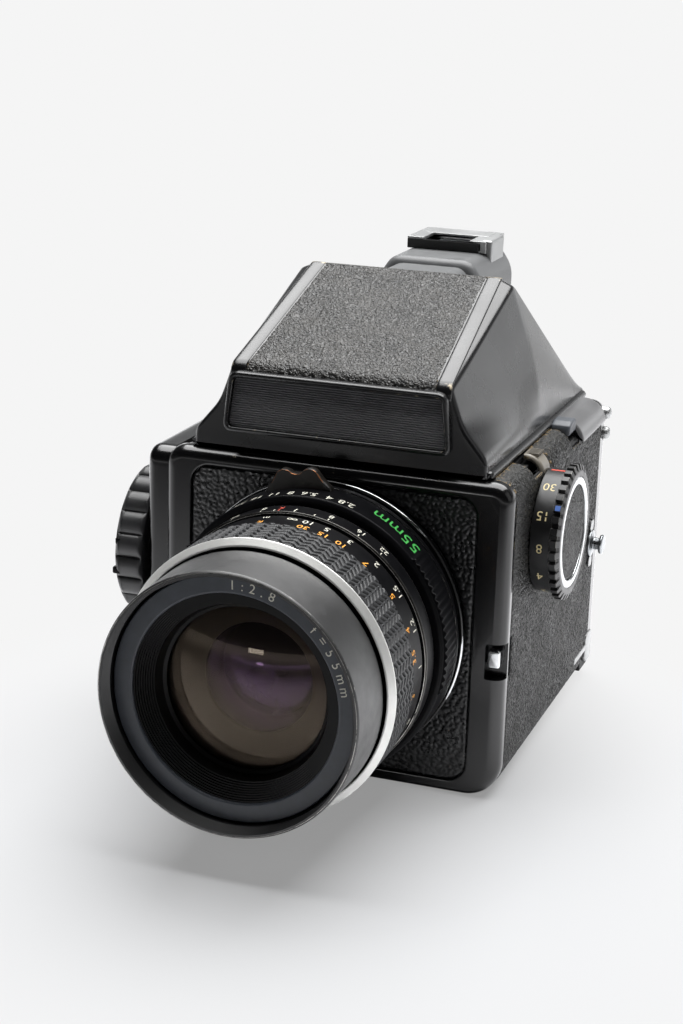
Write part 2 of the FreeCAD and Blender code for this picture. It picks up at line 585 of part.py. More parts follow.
def idler_teeth():
    """The least number of teeth with which the idler reaches both gears."""
    apart = math.hypot((s.spool_place - s.knob_place).value, (TAKEUP_Z - KNOB_Z).value)
    return formula(math.ceil(apart / s.tooth_module.value - s.small_teeth.value))


def idler_centre():
    """Where the idler runs: it meshes with the knob's gear and with the take-up gear."""
    gap = gear_radius(s.small_teeth) + gear_radius(idler_teeth())
    dy = s.spool_place - s.knob_place
    dz = TAKEUP_Z - KNOB_Z
    apart = math.hypot(dy.value, dz.value)
    lift = math.sqrt(gap.value ** 2 - (apart / 2) ** 2)
    return ((s.spool_place + s.knob_place) / 2 + lift * dz.value / apart,
            (TAKEUP_Z + KNOB_Z) / 2 - lift * dy.value / apart)


def gear(name, teeth, centre, turn):
    """A spur gear about X: a blank with one gap cut and patterned round it."""
    pitch = gear_radius(teeth)
    body = doc.addObject("PartDesign::Body", name)
    body.Placement = FreeCAD.Placement(FreeCAD.Vector(), FreeCAD.Rotation(FreeCAD.Vector(1, 0, 0), turn))
    place(body, GEARS_START, centre[0], centre[1])
    blank = sketch_on(body, "YZ_Plane", name + "_blank")
    blank.addGeometry(Part.Circle(FreeCAD.Vector(), FreeCAD.Vector(0, 0, 1), 10), False)
    blank.addConstraint(Sketcher.Constraint("Coincident", 0, 3, -1, 1))
    size = blank.addConstraint(Sketcher.Constraint("Radius", 0, 10))
    blank.setExpression("Constraints[" + str(size) + "]", (pitch + s.tooth_module).text)
    pad = body.newObject("PartDesign::Pad", name + "_pad")
    pad.Profile = blank
    bind(pad, "Length", s.gear_depth)
    gap = sketch_on(body, "YZ_Plane", name + "_gap")
    root, tip = pitch - s.tooth_module * 1.35, pitch + s.tooth_module * 1.3
    outline(gap, [(root, -s.tooth_module * 0.55), (tip, -s.tooth_module * 1.4),
                  (tip, s.tooth_module * 1.4), (root, s.tooth_module * 0.55)])
    pocket = body.newObject("PartDesign::Pocket", name + "_pocket")
    pocket.Profile = gap
    bind(pocket, "Length", s.gear_depth)
    pocket.Reversed = True
    pattern = body.newObject("PartDesign::PolarPattern", name + "_teeth")
    pattern.Originals = [pocket]
    pattern.Axis = (gap, ["N_Axis"])
    pattern.Angle = 360
    bind(pattern, "Occurrences", teeth)
    body.Tip = pattern
    return body


def build_gears():
    """The knob's gear on its shaft, the idler, and the take-up gear with the key that drives the spool."""
    knob_at = (s.knob_place, KNOB_Z)
    spool_at = (s.spool_place, TAKEUP_Z)
    middle = idler_centre()
    to_knob, to_spool = [math.degrees(math.atan2(at[1].value - middle[1].value,
                                                 at[0].value - middle[0].value))
                         for at in (knob_at, spool_at)]
    ratio = idler_teeth().value / s.small_teeth.value
    half_tooth = 180.0 / s.small_teeth.value
    inner = s.fit - CASE_INSIDE
    knob_gear = gear("knob_gear", s.small_teeth, knob_at, to_knob + 180 + half_tooth)
    knob_shaft = rod("knob_shaft", "x", s.wind_shaft, knob_at, (KNOB_INNER + s.knob_gap, inner))
    node(fuse("wind_shaft_set", [knob_gear, knob_shaft]), "winding_shaft")
    idler_gear = gear("idler_blank", idler_teeth(), middle, to_knob)
    idler_shaft = rod("idler_shaft", "x", s.wind_shaft, middle, (GEARS_START - 0.5, inner))
    node(fuse("idler_set", [idler_gear, idler_shaft]), "idler_gear")
    spool_turn = to_spool + 180 + (to_spool - to_knob) * ratio + half_tooth
    spool_gear = gear("spool_blank", s.small_teeth, spool_at, spool_turn)
    drive = rod("spool_drive", "x", s.wind_shaft, spool_at,
                (GEARS_START - 0.5, s.spool_bore_depth - s.spool_half))
    node(fuse("spool_set", [spool_gear, drive]), "takeup_gear")


def build_dial():
    """The speed dial: engraved band, notched rim, bright trim, covered disc, and its shaft."""
    rim = DIAL_START + s.band_depth
    face = rim + s.rim_depth
    bed = DIAL_TOP - 0.8
    centre = (s.dial_place, DIAL_Z)
    blank = side_ring("dial_blank",
                      [(DIAL_START, s.dial_shaft), (DIAL_START, s.dial_band), (rim, s.dial_band),
                                     (rim, s.dial_rim), (face, s.dial_rim), (DIAL_TOP, s.dial_face + 1.2),
                                     (DIAL_TOP, s.dial_face), (bed, s.dial_face), (bed, s.dial_shaft)],
                                     *centre)
    notches = ring_of_rods("dial_notch", s.notches, s.notch_size, centre, s.dial_rim + s.notch_size * 0.2,
                           (rim - 1, face + 1))
    node(cut("dial", blank, notches), "shutter_speed_dial")
    node(side_ring("dial_trim", [(bed, s.dial_disc), (bed, s.dial_face), (DIAL_TOP, s.dial_face),
                                 (DIAL_TOP, s.dial_disc)], *centre), "dial_trim_ring")
    node(side_ring("dial_cover", [(bed, 0), (bed, s.dial_disc), (DIAL_TOP - 0.2, s.dial_disc),
                                  (DIAL_TOP - 0.2, 0)], *centre), "dial_disc")
    shaft = rod("dial_shaft_rod", "x", s.dial_shaft, centre, (CASE_INSIDE - s.fit - s.detent_depth, bed))
    wheel = rod("dial_detent", "x", s.detent_size, centre,
                (CASE_INSIDE - s.fit - s.detent_depth, CASE_INSIDE - s.fit))
    node(fuse("dial_shaft_set", [shaft, wheel]), "dial_shaft")


def build_small_controls():
    """The mirror lock, lens catch, shutter button, finder release and strap lug."""
    top = box("lock_top", (s.lever_inner, s.half_width), (s.lever_front, s.lever_back),
              (LEVER_TOP - s.lever_thick, LEVER_TOP))
    side = box("lock_side", (CASE_SIDE - s.fit, s.half_width), (s.lever_front + 2, s.lever_back),
               (BODY_TOP - s.lever_drop, LEVER_TOP))
    shank = box("lock_shank", (s.lever_inner + 2, s.lever_inner + 4), (s.lever_front, s.lever_back),
                (CEILING - s.fit - s.lever_foot, LEVER_TOP - 1))
    foot = box("lock_foot", (s.lever_inner + 0.9, s.lever_inner + 4), (s.lever_front + 1, s.lever_back - 1),
               (CEILING - s.fit - s.lever_foot, CEILING - s.fit))
    node(fuse("lock", [top, side, shank, foot]), "mirror_lock_lever")

    pad = box("catch_pad", (CATCH_X - s.catch_width / 2, CATCH_X + s.catch_width / 2),
              (s.face + s.release_sink - s.catch_travel - s.fit - s.catch_thick,
               s.face + s.release_sink - s.catch_travel - s.fit),
              (CATCH_Z - s.catch_tall / 2, CATCH_Z + s.catch_tall / 2))
    stem = rod("catch_rod", "y", s.catch_stem, (CATCH_X, CATCH_Z),
               (s.face + 1, s.frame_back - s.catch_travel - s.fit))
    node(fuse("catch", [pad, stem]), "lens_release_button")

    at = (s.button_place, s.button_height)
    bore = s.button_size + s.fit
    node(lens_ring("collar_ring", [(-s.panel_sink, bore), (s.collar_proud, bore),
                                   (s.collar_proud, s.collar_size - 0.6),
                                   (s.collar_proud - 0.6, s.collar_size), (-s.panel_sink, s.collar_size)],
                                   *at),
         "release_collar")
    node(lens_ring("button_turned", [(s.button_proud, 0), (s.button_proud, s.button_size - 0.8),
                                     (s.button_proud - 0.8, s.button_size), (-3, s.button_size), (-3, 0)],
                                     *at),
         "shutter_release_button")

    block = slab("finder_button_block", "XY_Plane",
                 oblong((BUTTON_X - s.finder_button_half, BUTTON_X + s.finder_button_half),
                        (s.finder_button_front, s.finder_button_front + s.finder_button_length)),
                 BODY_TOP - s.finder_button_sink + s.finder_button_travel,
                 s.finder_button_proud + s.finder_button_sink - s.finder_button_travel)
    soften(block, "finder_button_soft", 0.5,
           lambda span: near(span.ZMin,
                             s.finder_button_proud + s.finder_button_sink - s.finder_button_travel))
    node(block, "finder_release_button")

    edge = s.half_width
    tip = edge + s.lug_reach
    node(side_ring("lug_stud", [
        (CASE_INSIDE, 0), (CASE_INSIDE, s.lug_neck), (edge, s.lug_neck), (edge, s.lug_size),
        (edge + 1, s.lug_size), (edge + 1.4, 1.6), (tip - 1.2, 1.6), (tip - 1.2, 2.6), (tip, 2.2),
        (tip, 0)], s.lug_place, s.lug_height), "strap_lug")


def build_mirror_box():
    """The lens mount ring, the mirror box with the mirror's bearings, the mirror and the screen."""
    spigot = s.throat - s.shaft_fit
    node(lens_ring("mount", [
        (-s.panel_sink - s.mount_spigot, spigot), (-s.panel_sink - s.mount_spigot, s.mount_bore),
        (s.mount_front, s.mount_bore), (s.mount_front, s.mount_size - 0.5),
        (s.mount_front - 0.5, s.mount_size), (-s.panel_sink, s.mount_size),
        (-s.panel_sink, spigot)]), "lens_mount_ring")
    outer = box("mirror_box_outer", (-s.box_half, s.box_half), (s.frame_back, s.box_back),
                (s.box_low, BOX_TOP))
    feet = [box("mirror_box_foot_" + side, ends, (s.frame_back, s.frame_back + s.box_foot),
                (s.box_low, BOX_TOP))
            for side, ends in (("left", (-CASE_INSIDE, -s.box_half)), ("right", (s.box_half, CASE_INSIDE)))]
    inner = box("mirror_box_inner", (s.box_wall - s.box_half, s.box_half - s.box_wall),
                (s.frame_back - 1, s.box_back + 1), (s.box_low + s.box_wall, BOX_TOP + 1))
    hinge = (s.mirror_hinge_place, MIRROR_Z)
    through = (-s.box_half - 1, s.box_half + 1)
    bore = rod("mirror_box_bore", "x", s.mirror_pin + 2 * s.shaft_fit, hinge, through)
    node(cut("mirror_box_cut", fuse("mirror_box_solid", [outer] + feet), [inner, bore]), "mirror_box")

    slope = math.sqrt(0.5)

    def tilted(name, low, high, length, half):
        """A plate at 45 degrees whose lower end is a mirror's length from the hinge."""
        plate = doc.addObject("Part::Box", name)
        plate.Placement = FreeCAD.Placement(FreeCAD.Vector(), FreeCAD.Rotation(FreeCAD.Vector(1, 0, 0), 45))
        bind(plate, "Length", half * 2)
        bind(plate, "Width", length)
        bind(plate, "Height", formula(high) - low)
        place(plate, -half, hinge[0] - slope * s.mirror_length - slope * formula(low),
              hinge[1] - slope * s.mirror_length + slope * formula(low))
        return plate

    holder = tilted("holder_plate", -s.mirror_glass - s.holder_thick, -s.mirror_glass, s.mirror_length,
                    MIRROR_HALF)
    bar = rod("holder_bar", "x", s.mirror_bar, hinge, (-MIRROR_HALF, MIRROR_HALF))
    pin = rod("holder_pin", "x", s.mirror_pin, hinge, (s.fit - s.box_half, s.box_half - s.fit))
    node(fuse("holder", [holder, bar, pin]), "mirror_holder")
    node(tilted("mirror_plate", -s.mirror_glass, 0, s.mirror_length - s.mirror_bar - s.fit,
                MIRROR_HALF - 0.5),
         "reflex_mirror")
    node(box("screen", (s.fit - s.box_half, s.box_half - s.fit), (s.frame_back + s.fit, s.box_back - s.fit),
             (BOX_TOP, BOX_TOP + s.screen_thick)), "focusing_screen")


def build_shutter():
    """The film gate, the shutter's curtain and its two rollers."""
    gate = box("gate_plate", (-s.gate_half, s.gate_half), (FILM - s.gate_thick, FILM),
               (s.lens_height - s.gate_reach, s.lens_height + s.gate_reach))
    window = box("gate_window", (-s.gate_half_wide, s.gate_half_wide), (FILM - s.gate_thick - 1, FILM + 1),
                 (s.lens_height - s.gate_half_tall, s.lens_height + s.gate_half_tall))
    ears = [box("gate_ear_" + side, ends, (FILM - s.gate_thick, FILM),
                (s.lens_height - s.gate_ear, s.lens_height + s.gate_ear))
            for side,
            ends in (("left", (-CASE_INSIDE, -s.gate_half)), ("right", (s.gate_half, CASE_INSIDE)))]
    node(cut("gate", fuse("gate_solid", [gate] + ears), [window]), "film_gate")
    start = s.roller_depth + s.roller_size + s.fit
    node(box("curtain", (-s.roller_place, s.roller_place), (start, start + s.curtain_thick),
             (s.lens_height - s.curtain_half, s.lens_height + s.curtain_half)), "shutter_curtain")
    for side, x in (("left", -s.roller_place), ("right", s.roller_place)):
        drum = rod("roller_drum_" + side, "z", s.roller_size, (x, s.roller_depth),
                   (FLOOR + s.fit, CEILING - s.fit))
        pin = rod("roller_axle_" + side, "z", s.roller_pin, (x, s.roller_depth),
                  (FLOOR - s.roller_pin_length + s.fit, CEILING + s.roller_pin_length - s.fit))
        node(fuse("roller_" + side, [drum, pin]), "curtain_roller_" + side)


def spool_points():
    """Half the section of a spool with a bore at each end, drawn as (x, radius)."""
    half, flange = s.spool_half, s.spool_half - s.flange_thick
    return [(-half, s.spool_flange), (-flange, s.spool_flange), (-flange, s.spool_core),
            (flange, s.spool_core),
            (flange, s.spool_flange), (half, s.spool_flange)]


def build_film():
    """The film insert with its pressure plate, the take-up spool and the roll of film."""
    walls = [box("insert_wall_" + side, ends, (FILM + s.film_gap, s.insert_back),
                 (FLOOR + s.insert_drop, CEILING - s.insert_lift))
             for side,
             ends in (("left", (-INSERT_SIDE, -INSERT_INSIDE)), ("right", (INSERT_INSIDE, INSERT_SIDE)))]
    plate_back = FILM + s.film_gap + s.pressure_thick
    bridge = box("insert_bridge", (-INSERT_SIDE, INSERT_SIDE), (plate_back, plate_back + 1.6),
                 (s.lens_height - s.bridge_reach, s.lens_height + s.bridge_reach))
    back = box("insert_back_bar", (-INSERT_SIDE, INSERT_SIDE), (s.insert_back - 1.6, s.insert_back),
               (s.lens_height - 5, s.lens_height + 5))
    take = (s.spool_place, TAKEUP_Z)
    supply = (s.spool_place, s.lens_height - s.supply_drop)
    pins = [rod("insert_pin_" + label, "x", s.spool_pin, spot, ends) for label, spot, ends in
            (("takeup", take, (s.spool_half - s.spool_bore_depth + 1, INSERT_SIDE)),
             ("supply_right", supply, (s.spool_half - s.spool_bore_depth + 1, INSERT_SIDE)),
             ("supply_left", supply, (-INSERT_SIDE, s.spool_bore_depth - 1 - s.spool_half)))]
    hole = rod("insert_drive_hole", "x", s.wind_shaft + 2 * s.fit, take,
               (-INSERT_SIDE - 1, -INSERT_INSIDE + 1))
    posts = [box("insert_post_" + side, ends, (s.insert_back - 4, s.insert_back),
                 (s.lens_height - 4, s.lens_height + 4))
             for side,
             ends in (("left", (-CASE_INSIDE, -INSERT_SIDE)), ("right", (INSERT_SIDE, CASE_INSIDE)))]
    frame = cut("insert_frame", fuse("insert_solid", walls + [bridge, back] + posts), [hole])
    node(fuse("insert", [frame] + pins), "film_insert")
    node(box("pressure", (-PRESSURE_HALF, PRESSURE_HALF), (FILM + s.film_gap, plate_back),
             (s.lens_height - s.bridge_reach, s.lens_height + s.bridge_reach)), "pressure_plate")
    half, depth = s.spool_half, s.spool_bore_depth
    pin_bore, key_bore = s.spool_pin + s.shaft_fit, s.wind_shaft
    node(side_ring("takeup",
                   spool_points() + [(half, pin_bore), (half - depth, pin_bore), (half - depth, 0),
                                               (depth - half, 0), (depth - half, key_bore),
                                               (-half, key_bore)],
                   *take), "takeup_spool")
    roll = side_ring("supply",
                     spool_points() + [(half, pin_bore), (half - depth, pin_bore), (half - depth, 0),
                                                 (depth - half, 0), (depth - half, pin_bore),
                                                 (-half, pin_bore)],
                     *supply)
    film = rod("supply_film", "x", s.film_size, supply, (s.fit - s.spool_half + s.flange_thick,
                                                         s.spool_half - s.flange_thick - s.fit))
    core = rod("supply_core", "x", s.spool_core - 0.5, supply, (-s.spool_half, s.spool_half))
    node(fuse("supply_roll", [roll, cut("supply_wound", film, [core])]), "film_roll")


def build_door():
    """The back door on its hinge, with the hinge pin's strap and the two-stud latch."""
    depth = s.rear - DOOR_FRONT
    hinge = (s.hinge_place, s.hinge_height)
    reach = CASE_SIDE - s.knuckle - s.fit
    leaf = soft_slab("door_leaf", s.half_width, s.hinge_height - s.barrel_size, BODY_TOP, s.rear, depth,
                     s.corner_top, s.barrel_size)
    soften(leaf, "door_rim", s.edge_round, lambda span: near(span.YMin, 0) and near(span.YMax, 0)
           and span.ZMax > LATCH_Z.value / 2)
    room = box("door_room", (s.door_rim - s.half_width, s.half_width - s.door_rim),
               (s.case_back, s.rear - s.door_wall), (s.hinge_height + 6, BODY_TOP - s.door_rim))
    low = s.hinge_height + s.barrel_size + s.fit
    notches = [box("door_notch_" + side, ends, (s.case_back, s.rear + 1), (-1, low)) for side, ends in
               (("left", (LEFT - 1, -reach)), ("right", (reach, s.half_width + 1)))]
    inner_low = box("door_inner_low", (LEFT - 1, s.half_width + 1), (s.case_back, s.hinge_place),
                    (-1, s.hinge_height + s.barrel_size * 0.6))
    studs = [rod("door_stud_hole_" + side, "x", s.latch_size + s.fit, (s.latch_place, LATCH_Z + lift),
                 (s.half_width - s.door_rim - 3, s.half_width + 1))
             for side, lift in (("low", -s.latch_apart), ("high", s.latch_apart))]
    barrel = rod("door_barrel", "x", s.barrel_size, hinge, (-reach, reach))
    bore = rod("door_bore", "x", s.hinge_pin + s.shaft_fit, hinge, (-reach - 1, reach + 1))
    shell = cut("door_shell", leaf, [room, inner_low] + notches + studs)
    node(cut("door", fuse("door_solid", [shell, barrel]), [bore]), "back_door")

    pin = rod("hinge_rod", "x", s.hinge_pin, hinge, (-CASE_SIDE, CASE_SIDE + s.strap_proud))
    strap = box("hinge_strap", (CASE_SIDE, CASE_SIDE + s.strap_proud), (s.strap_front, s.case_back - 0.4),
                (s.strap_low, s.strap_high))
    link = box("hinge_link", (CASE_SIDE, CASE_SIDE + s.strap_proud),
               (s.case_back - 3, s.hinge_place + s.hinge_pin),
               (s.hinge_height - s.hinge_pin, s.strap_high - 1.2))
    heel = box("hinge_heel", (CASE_SIDE, CASE_SIDE + s.strap_proud), (s.case_back - 3, s.case_back - 0.4),
               (s.hinge_height - s.hinge_pin, s.strap_high))
    node(fuse("hinge_set", [pin, strap, link, heel]), "door_hinge")

    bar_x = s.half_width - s.door_rim - s.fit
    bar = box("latch_bar", (bar_x - 1.5, bar_x), (s.latch_place - 1.5, s.rear - s.door_wall - s.fit),
              (LATCH_Z - s.latch_apart - 1.5, LATCH_Z + s.latch_apart - 0.3))
    tip = s.half_width + s.latch_reach
    stud = [(bar_x - 1, 0), (bar_x - 1, s.latch_size), (tip - 0.9, s.latch_size),
            (tip - 0.3, s.latch_size * 0.75), (tip, s.latch_size * 0.3), (tip, 0)]
    knobs = [side_ring("latch_stud_" + side, stud, s.latch_place, LATCH_Z + lift)
             for side, lift in (("low", -s.latch_apart), ("high", s.latch_apart))]
    node(fuse("latch", [bar] + knobs), "door_latch")


def build_base():
    """The base plate, the tripod bush, the battery and its coin-slotted cover."""
    plate = box("base_sheet", (-s.base_half, s.base_half), (s.base_front, s.base_rear), (0, s.base_thick))
    bush_hole = rod("base_bush_hole", "z", s.bush_size, (0, 0), (-1, s.base_thick + 1))
    cap_hole = rod("base_cap_hole", "z", s.battery_cap + s.fit, (0, s.battery_place),
                   (-1, s.base_thick + 1))
    node(cut("base", plate, [bush_hole, cap_hole]), "base_plate")
    solid = rod("bush_solid", "z", s.bush_size, (0, 0), (0, s.bush_tall))
    thread = rod("bush_thread", "z", s.thread_size, (0, 0), (-1, s.thread_depth))
    node(cut("bush", solid, [thread]), "tripod_bush")
    node(rod("battery_can", "z", s.battery_size, (0, s.battery_place),
             (s.base_thick + s.fit, s.base_thick + s.fit + s.battery_tall)), "battery")
    cap = rod("cap_disc", "z", s.battery_cap, (0, s.battery_place), (0, s.cap_thick))
    slot = box("cap_slot", (-s.battery_cap * 0.7, s.battery_cap * 0.7),
               (s.battery_place - 0.7, s.battery_place + 0.7),
               (-1, 0.9))
    node(cut("cap", cap, [slot]), "battery_cover")


def section(name, y, points):
    """A closed symmetric outline in X and Z at one place along the camera; points go up one side."""
    sketch = doc.addObject("Sketcher::SketchObject", name)
    sketch.Placement = FreeCAD.Placement(FreeCAD.Vector(), FreeCAD.Rotation(FreeCAD.Vector(1, 0, 0), 90))
    bind(sketch, "Placement.Base.y", y)
    outline(sketch, points + [(-formula(x), z) for x, z in reversed(points)])
    return sketch


def finder_form(name, inset, low):
    """The finder's outer form drawn in by an inset, from its front to its tail."""
    def ring(label, y, points):
        lifted = [(points[0][0] - inset, formula(low))]
        lifted += [(x - inset, z - inset) for x, z in points[1:]]
        return section(name + "_" + label, y, lifted)

    front = ring("front", s.finder_front + inset, [
        (s.finder_half, BASE), (s.finder_half - 0.2, BASE + s.skirt_rise),
        (s.waist_half, BASE + s.waist_rise),
        (s.cheek_half, BASE + s.cheek_rise), (s.brow_half, BASE + s.brow_rise),
        (s.lip_half, BASE + s.lip_rise)])
    crown = ring("crown", s.crown_place, [
        (s.finder_half, BASE), (s.finder_half, BASE + s.skirt_rise), (s.hip_half, BASE + s.hip_rise),
        (s.flank_half, BASE + s.flank_rise), (s.shoulder_half, BASE + s.shoulder_rise),
        (s.crown_half, BASE + s.crown_rise)])
    tail = BASE + s.tail_rise
    rear = ring("rear", s.finder_rear - inset, [
        (s.finder_half, BASE), (s.finder_half, tail - 1.6), (s.finder_half - 0.3, tail - 1.2),
        (s.hip_half, tail - 0.9), (s.hip_half - 1, tail - 0.4), (s.hip_half - 2, tail)])
    form = doc.addObject("Part::Loft", name)
    form.Sections = [front, crown, rear]
    form.Solid = True
    form.Ruled = True
    return form


def roof_panel(name, low, high, margin):
    """A plate lying on the finder's sloping roof between its two rails."""
    rise = s.crown_rise - s.lip_rise
    run = s.crown_place - s.finder_front
    tilt = math.degrees(math.atan2(rise.value, run.value))
    length = math.hypot(rise.value, run.value)
    body = doc.addObject("PartDesign::Body", name)
    body.Placement = FreeCAD.Placement(FreeCAD.Vector(), FreeCAD.Rotation(FreeCAD.Vector(1, 0, 0), tilt))
    lean = math.radians(tilt)
    place(body, 0, s.finder_front - math.sin(lean) * formula(low),
          BASE + s.lip_rise + math.cos(lean) * formula(low))
    sketch = sketch_on(body, "XY_Plane", name + "_outline")
    foot, head = s.lip_half - s.rail_width + margin, s.crown_half - s.rail_width + margin
    outline(sketch, [(-foot, -margin * 20), (foot, -margin * 20), (head, length - 0.9 + margin),
                     (-head, length - 0.9 + margin)])
    pad = body.newObject("PartDesign::Pad", name + "_pad")
    pad.Profile = sketch
    bind(pad, "Length", formula(high) - low)
    return body


def build_finder():
    """The finder's shell with its eyepiece hump, name plate surround, skin, prism, eyepiece and shoe."""
    form = finder_form("finder_form", 0.0, BASE)
    hollow = finder_form("finder_room", s.finder_wall, BASE - 1)
    hump = slab("hump_block", "XZ_Plane",
                [(-s.hump_half, BASE + s.hump_root), (s.hump_half, BASE + s.hump_root),
                 (s.hump_half, BASE + s.hump_waist_rise),
                 (s.hump_crown, BASE + s.hump_rise), (-s.hump_crown, BASE + s.hump_rise),
                 (-s.hump_half, BASE + s.hump_waist_rise)],
                s.hump_rear, s.hump_rear - s.hump_front)
    neck = slab("neck_block", "XZ_Plane",
                [(-s.neck_half, BASE + s.hump_root), (s.neck_half, BASE + s.hump_root),
                 (s.neck_half, BASE + s.hump_waist_rise),
                 (s.neck_crown, BASE + s.neck_rise), (-s.neck_crown, BASE + s.neck_rise),
                 (-s.neck_half, BASE + s.hump_waist_rise)],
                s.hump_front, s.hump_front - s.crown_place)
    surround = slab("surround_block", "XZ_Plane",
                    [(-s.surround_low_half, BASE + s.surround_root),
                     (s.surround_low_half, BASE + s.surround_root),
                     (s.surround_high_half, BASE + s.surround_rise),
                     (-s.surround_high_half, BASE + s.surround_rise)],
                    s.finder_front + 1, s.surround_proud + 1)
    soften(surround, "surround_corners", 1.5, lambda span: along(span, "y"))
    edge = s.surround_edge
    inner = [(-s.surround_low_half + edge, BASE + s.surround_root + edge),
             (s.surround_low_half - edge, BASE + s.surround_root + edge),
             (s.surround_high_half - edge, BASE + s.surround_rise - edge),
             (edge - s.surround_high_half, BASE + s.surround_rise - edge)]
    plate_front = s.finder_front - s.surround_proud
    sunk = slab("surround_sink", "XZ_Plane", inner, plate_front + s.plate_sink, s.plate_sink + 1)
    tunnel = box("finder_tunnel", (-s.tunnel_half, s.tunnel_half), (s.crown_place - 2, s.hump_rear + 1),
                 (BASE + s.tunnel_root, BASE + s.tunnel_rise))
    roof = roof_panel("roof_sink", -s.finder_skin, s.finder_skin + 1, 0.0)
    solid = fuse("finder_solid", [form, hump, neck, surround])
    node(cut("finder", solid, [hollow, sunk, tunnel, roof]), "prism_housing")
    node(slab("plate", "XZ_Plane", inner, plate_front + s.plate_sink, s.plate_thick), "name_panel")
    node(roof_panel("roof_skin", -s.finder_skin, s.finder_proud, 0.0), "finder_leatherette")

    glass = slab("prism_blank", "YZ_Plane", [
        (s.finder_front + 4, BASE + 3), (s.crown_place - 3.5, BASE + 3), (s.crown_place - 0.7, BASE + 7),
        (s.crown_place - 0.7, BASE + s.crown_rise - 4.3), (s.crown_place - 2.5, BASE + s.crown_rise - 2.3),
        (s.finder_front + 4, BASE + s.lip_rise + 0.6)],
                 -s.prism_half, s.prism_half * 2)
    room = finder_form("prism_room", s.finder_wall + s.prism_gap, BASE)
    node(common("prism", [glass, room]), "pentaprism")

    rear = s.hump_rear
    def eye(points, name):
        """A turned piece on the eyepiece axis; points are (y, radius)."""
        return turned(name, "YZ_Plane", points, 0, 0, BASE + s.eye_rise)
    node(eye([(rear, s.eye_size), (rear, s.eye_outer), (rear + s.eye_depth, s.eye_outer - 0.8),
              (rear + s.eye_depth, s.eye_size), (rear + 1.2 + s.eye_glass, s.eye_size),
              (rear + 1.2 + s.eye_glass, s.eye_size + 1), (rear + 1.2, s.eye_size + 1),
              (rear + 1.2, s.eye_size)],
             "eye_ring"), "eyepiece_frame")
    node(eye([(rear + 1.2, 0), (rear + 1.2, s.eye_size + 1), (rear + 1.2 + s.eye_glass, s.eye_size + 1),
              (rear + 1.2 + s.eye_glass, 0)], "eye_lens"), "eyepiece_glass")

    level = BASE + s.hump_rise
    span = (s.shoe_front, s.shoe_rear)
    over = level + s.shoe_floor + s.shoe_slot_tall
    floor = box("shoe_floor_plate", (-s.shoe_half, s.shoe_half), span, (level, level + s.shoe_floor))
    sides = [box("shoe_side_" + side, ends, span, (level, over + s.shoe_lip)) for side, ends in
             (("left", (-s.shoe_half, -s.shoe_slot)), ("right", (s.shoe_slot, s.shoe_half)))]
    lips = [box("shoe_lip_" + side, ends, span, (over, over + s.shoe_lip)) for side, ends in
            (("left", (-s.shoe_half, -s.shoe_mouth)), ("right", (s.shoe_mouth, s.shoe_half)))]
    node(fuse("shoe", [floor] + sides + lips), "accessory_shoe")


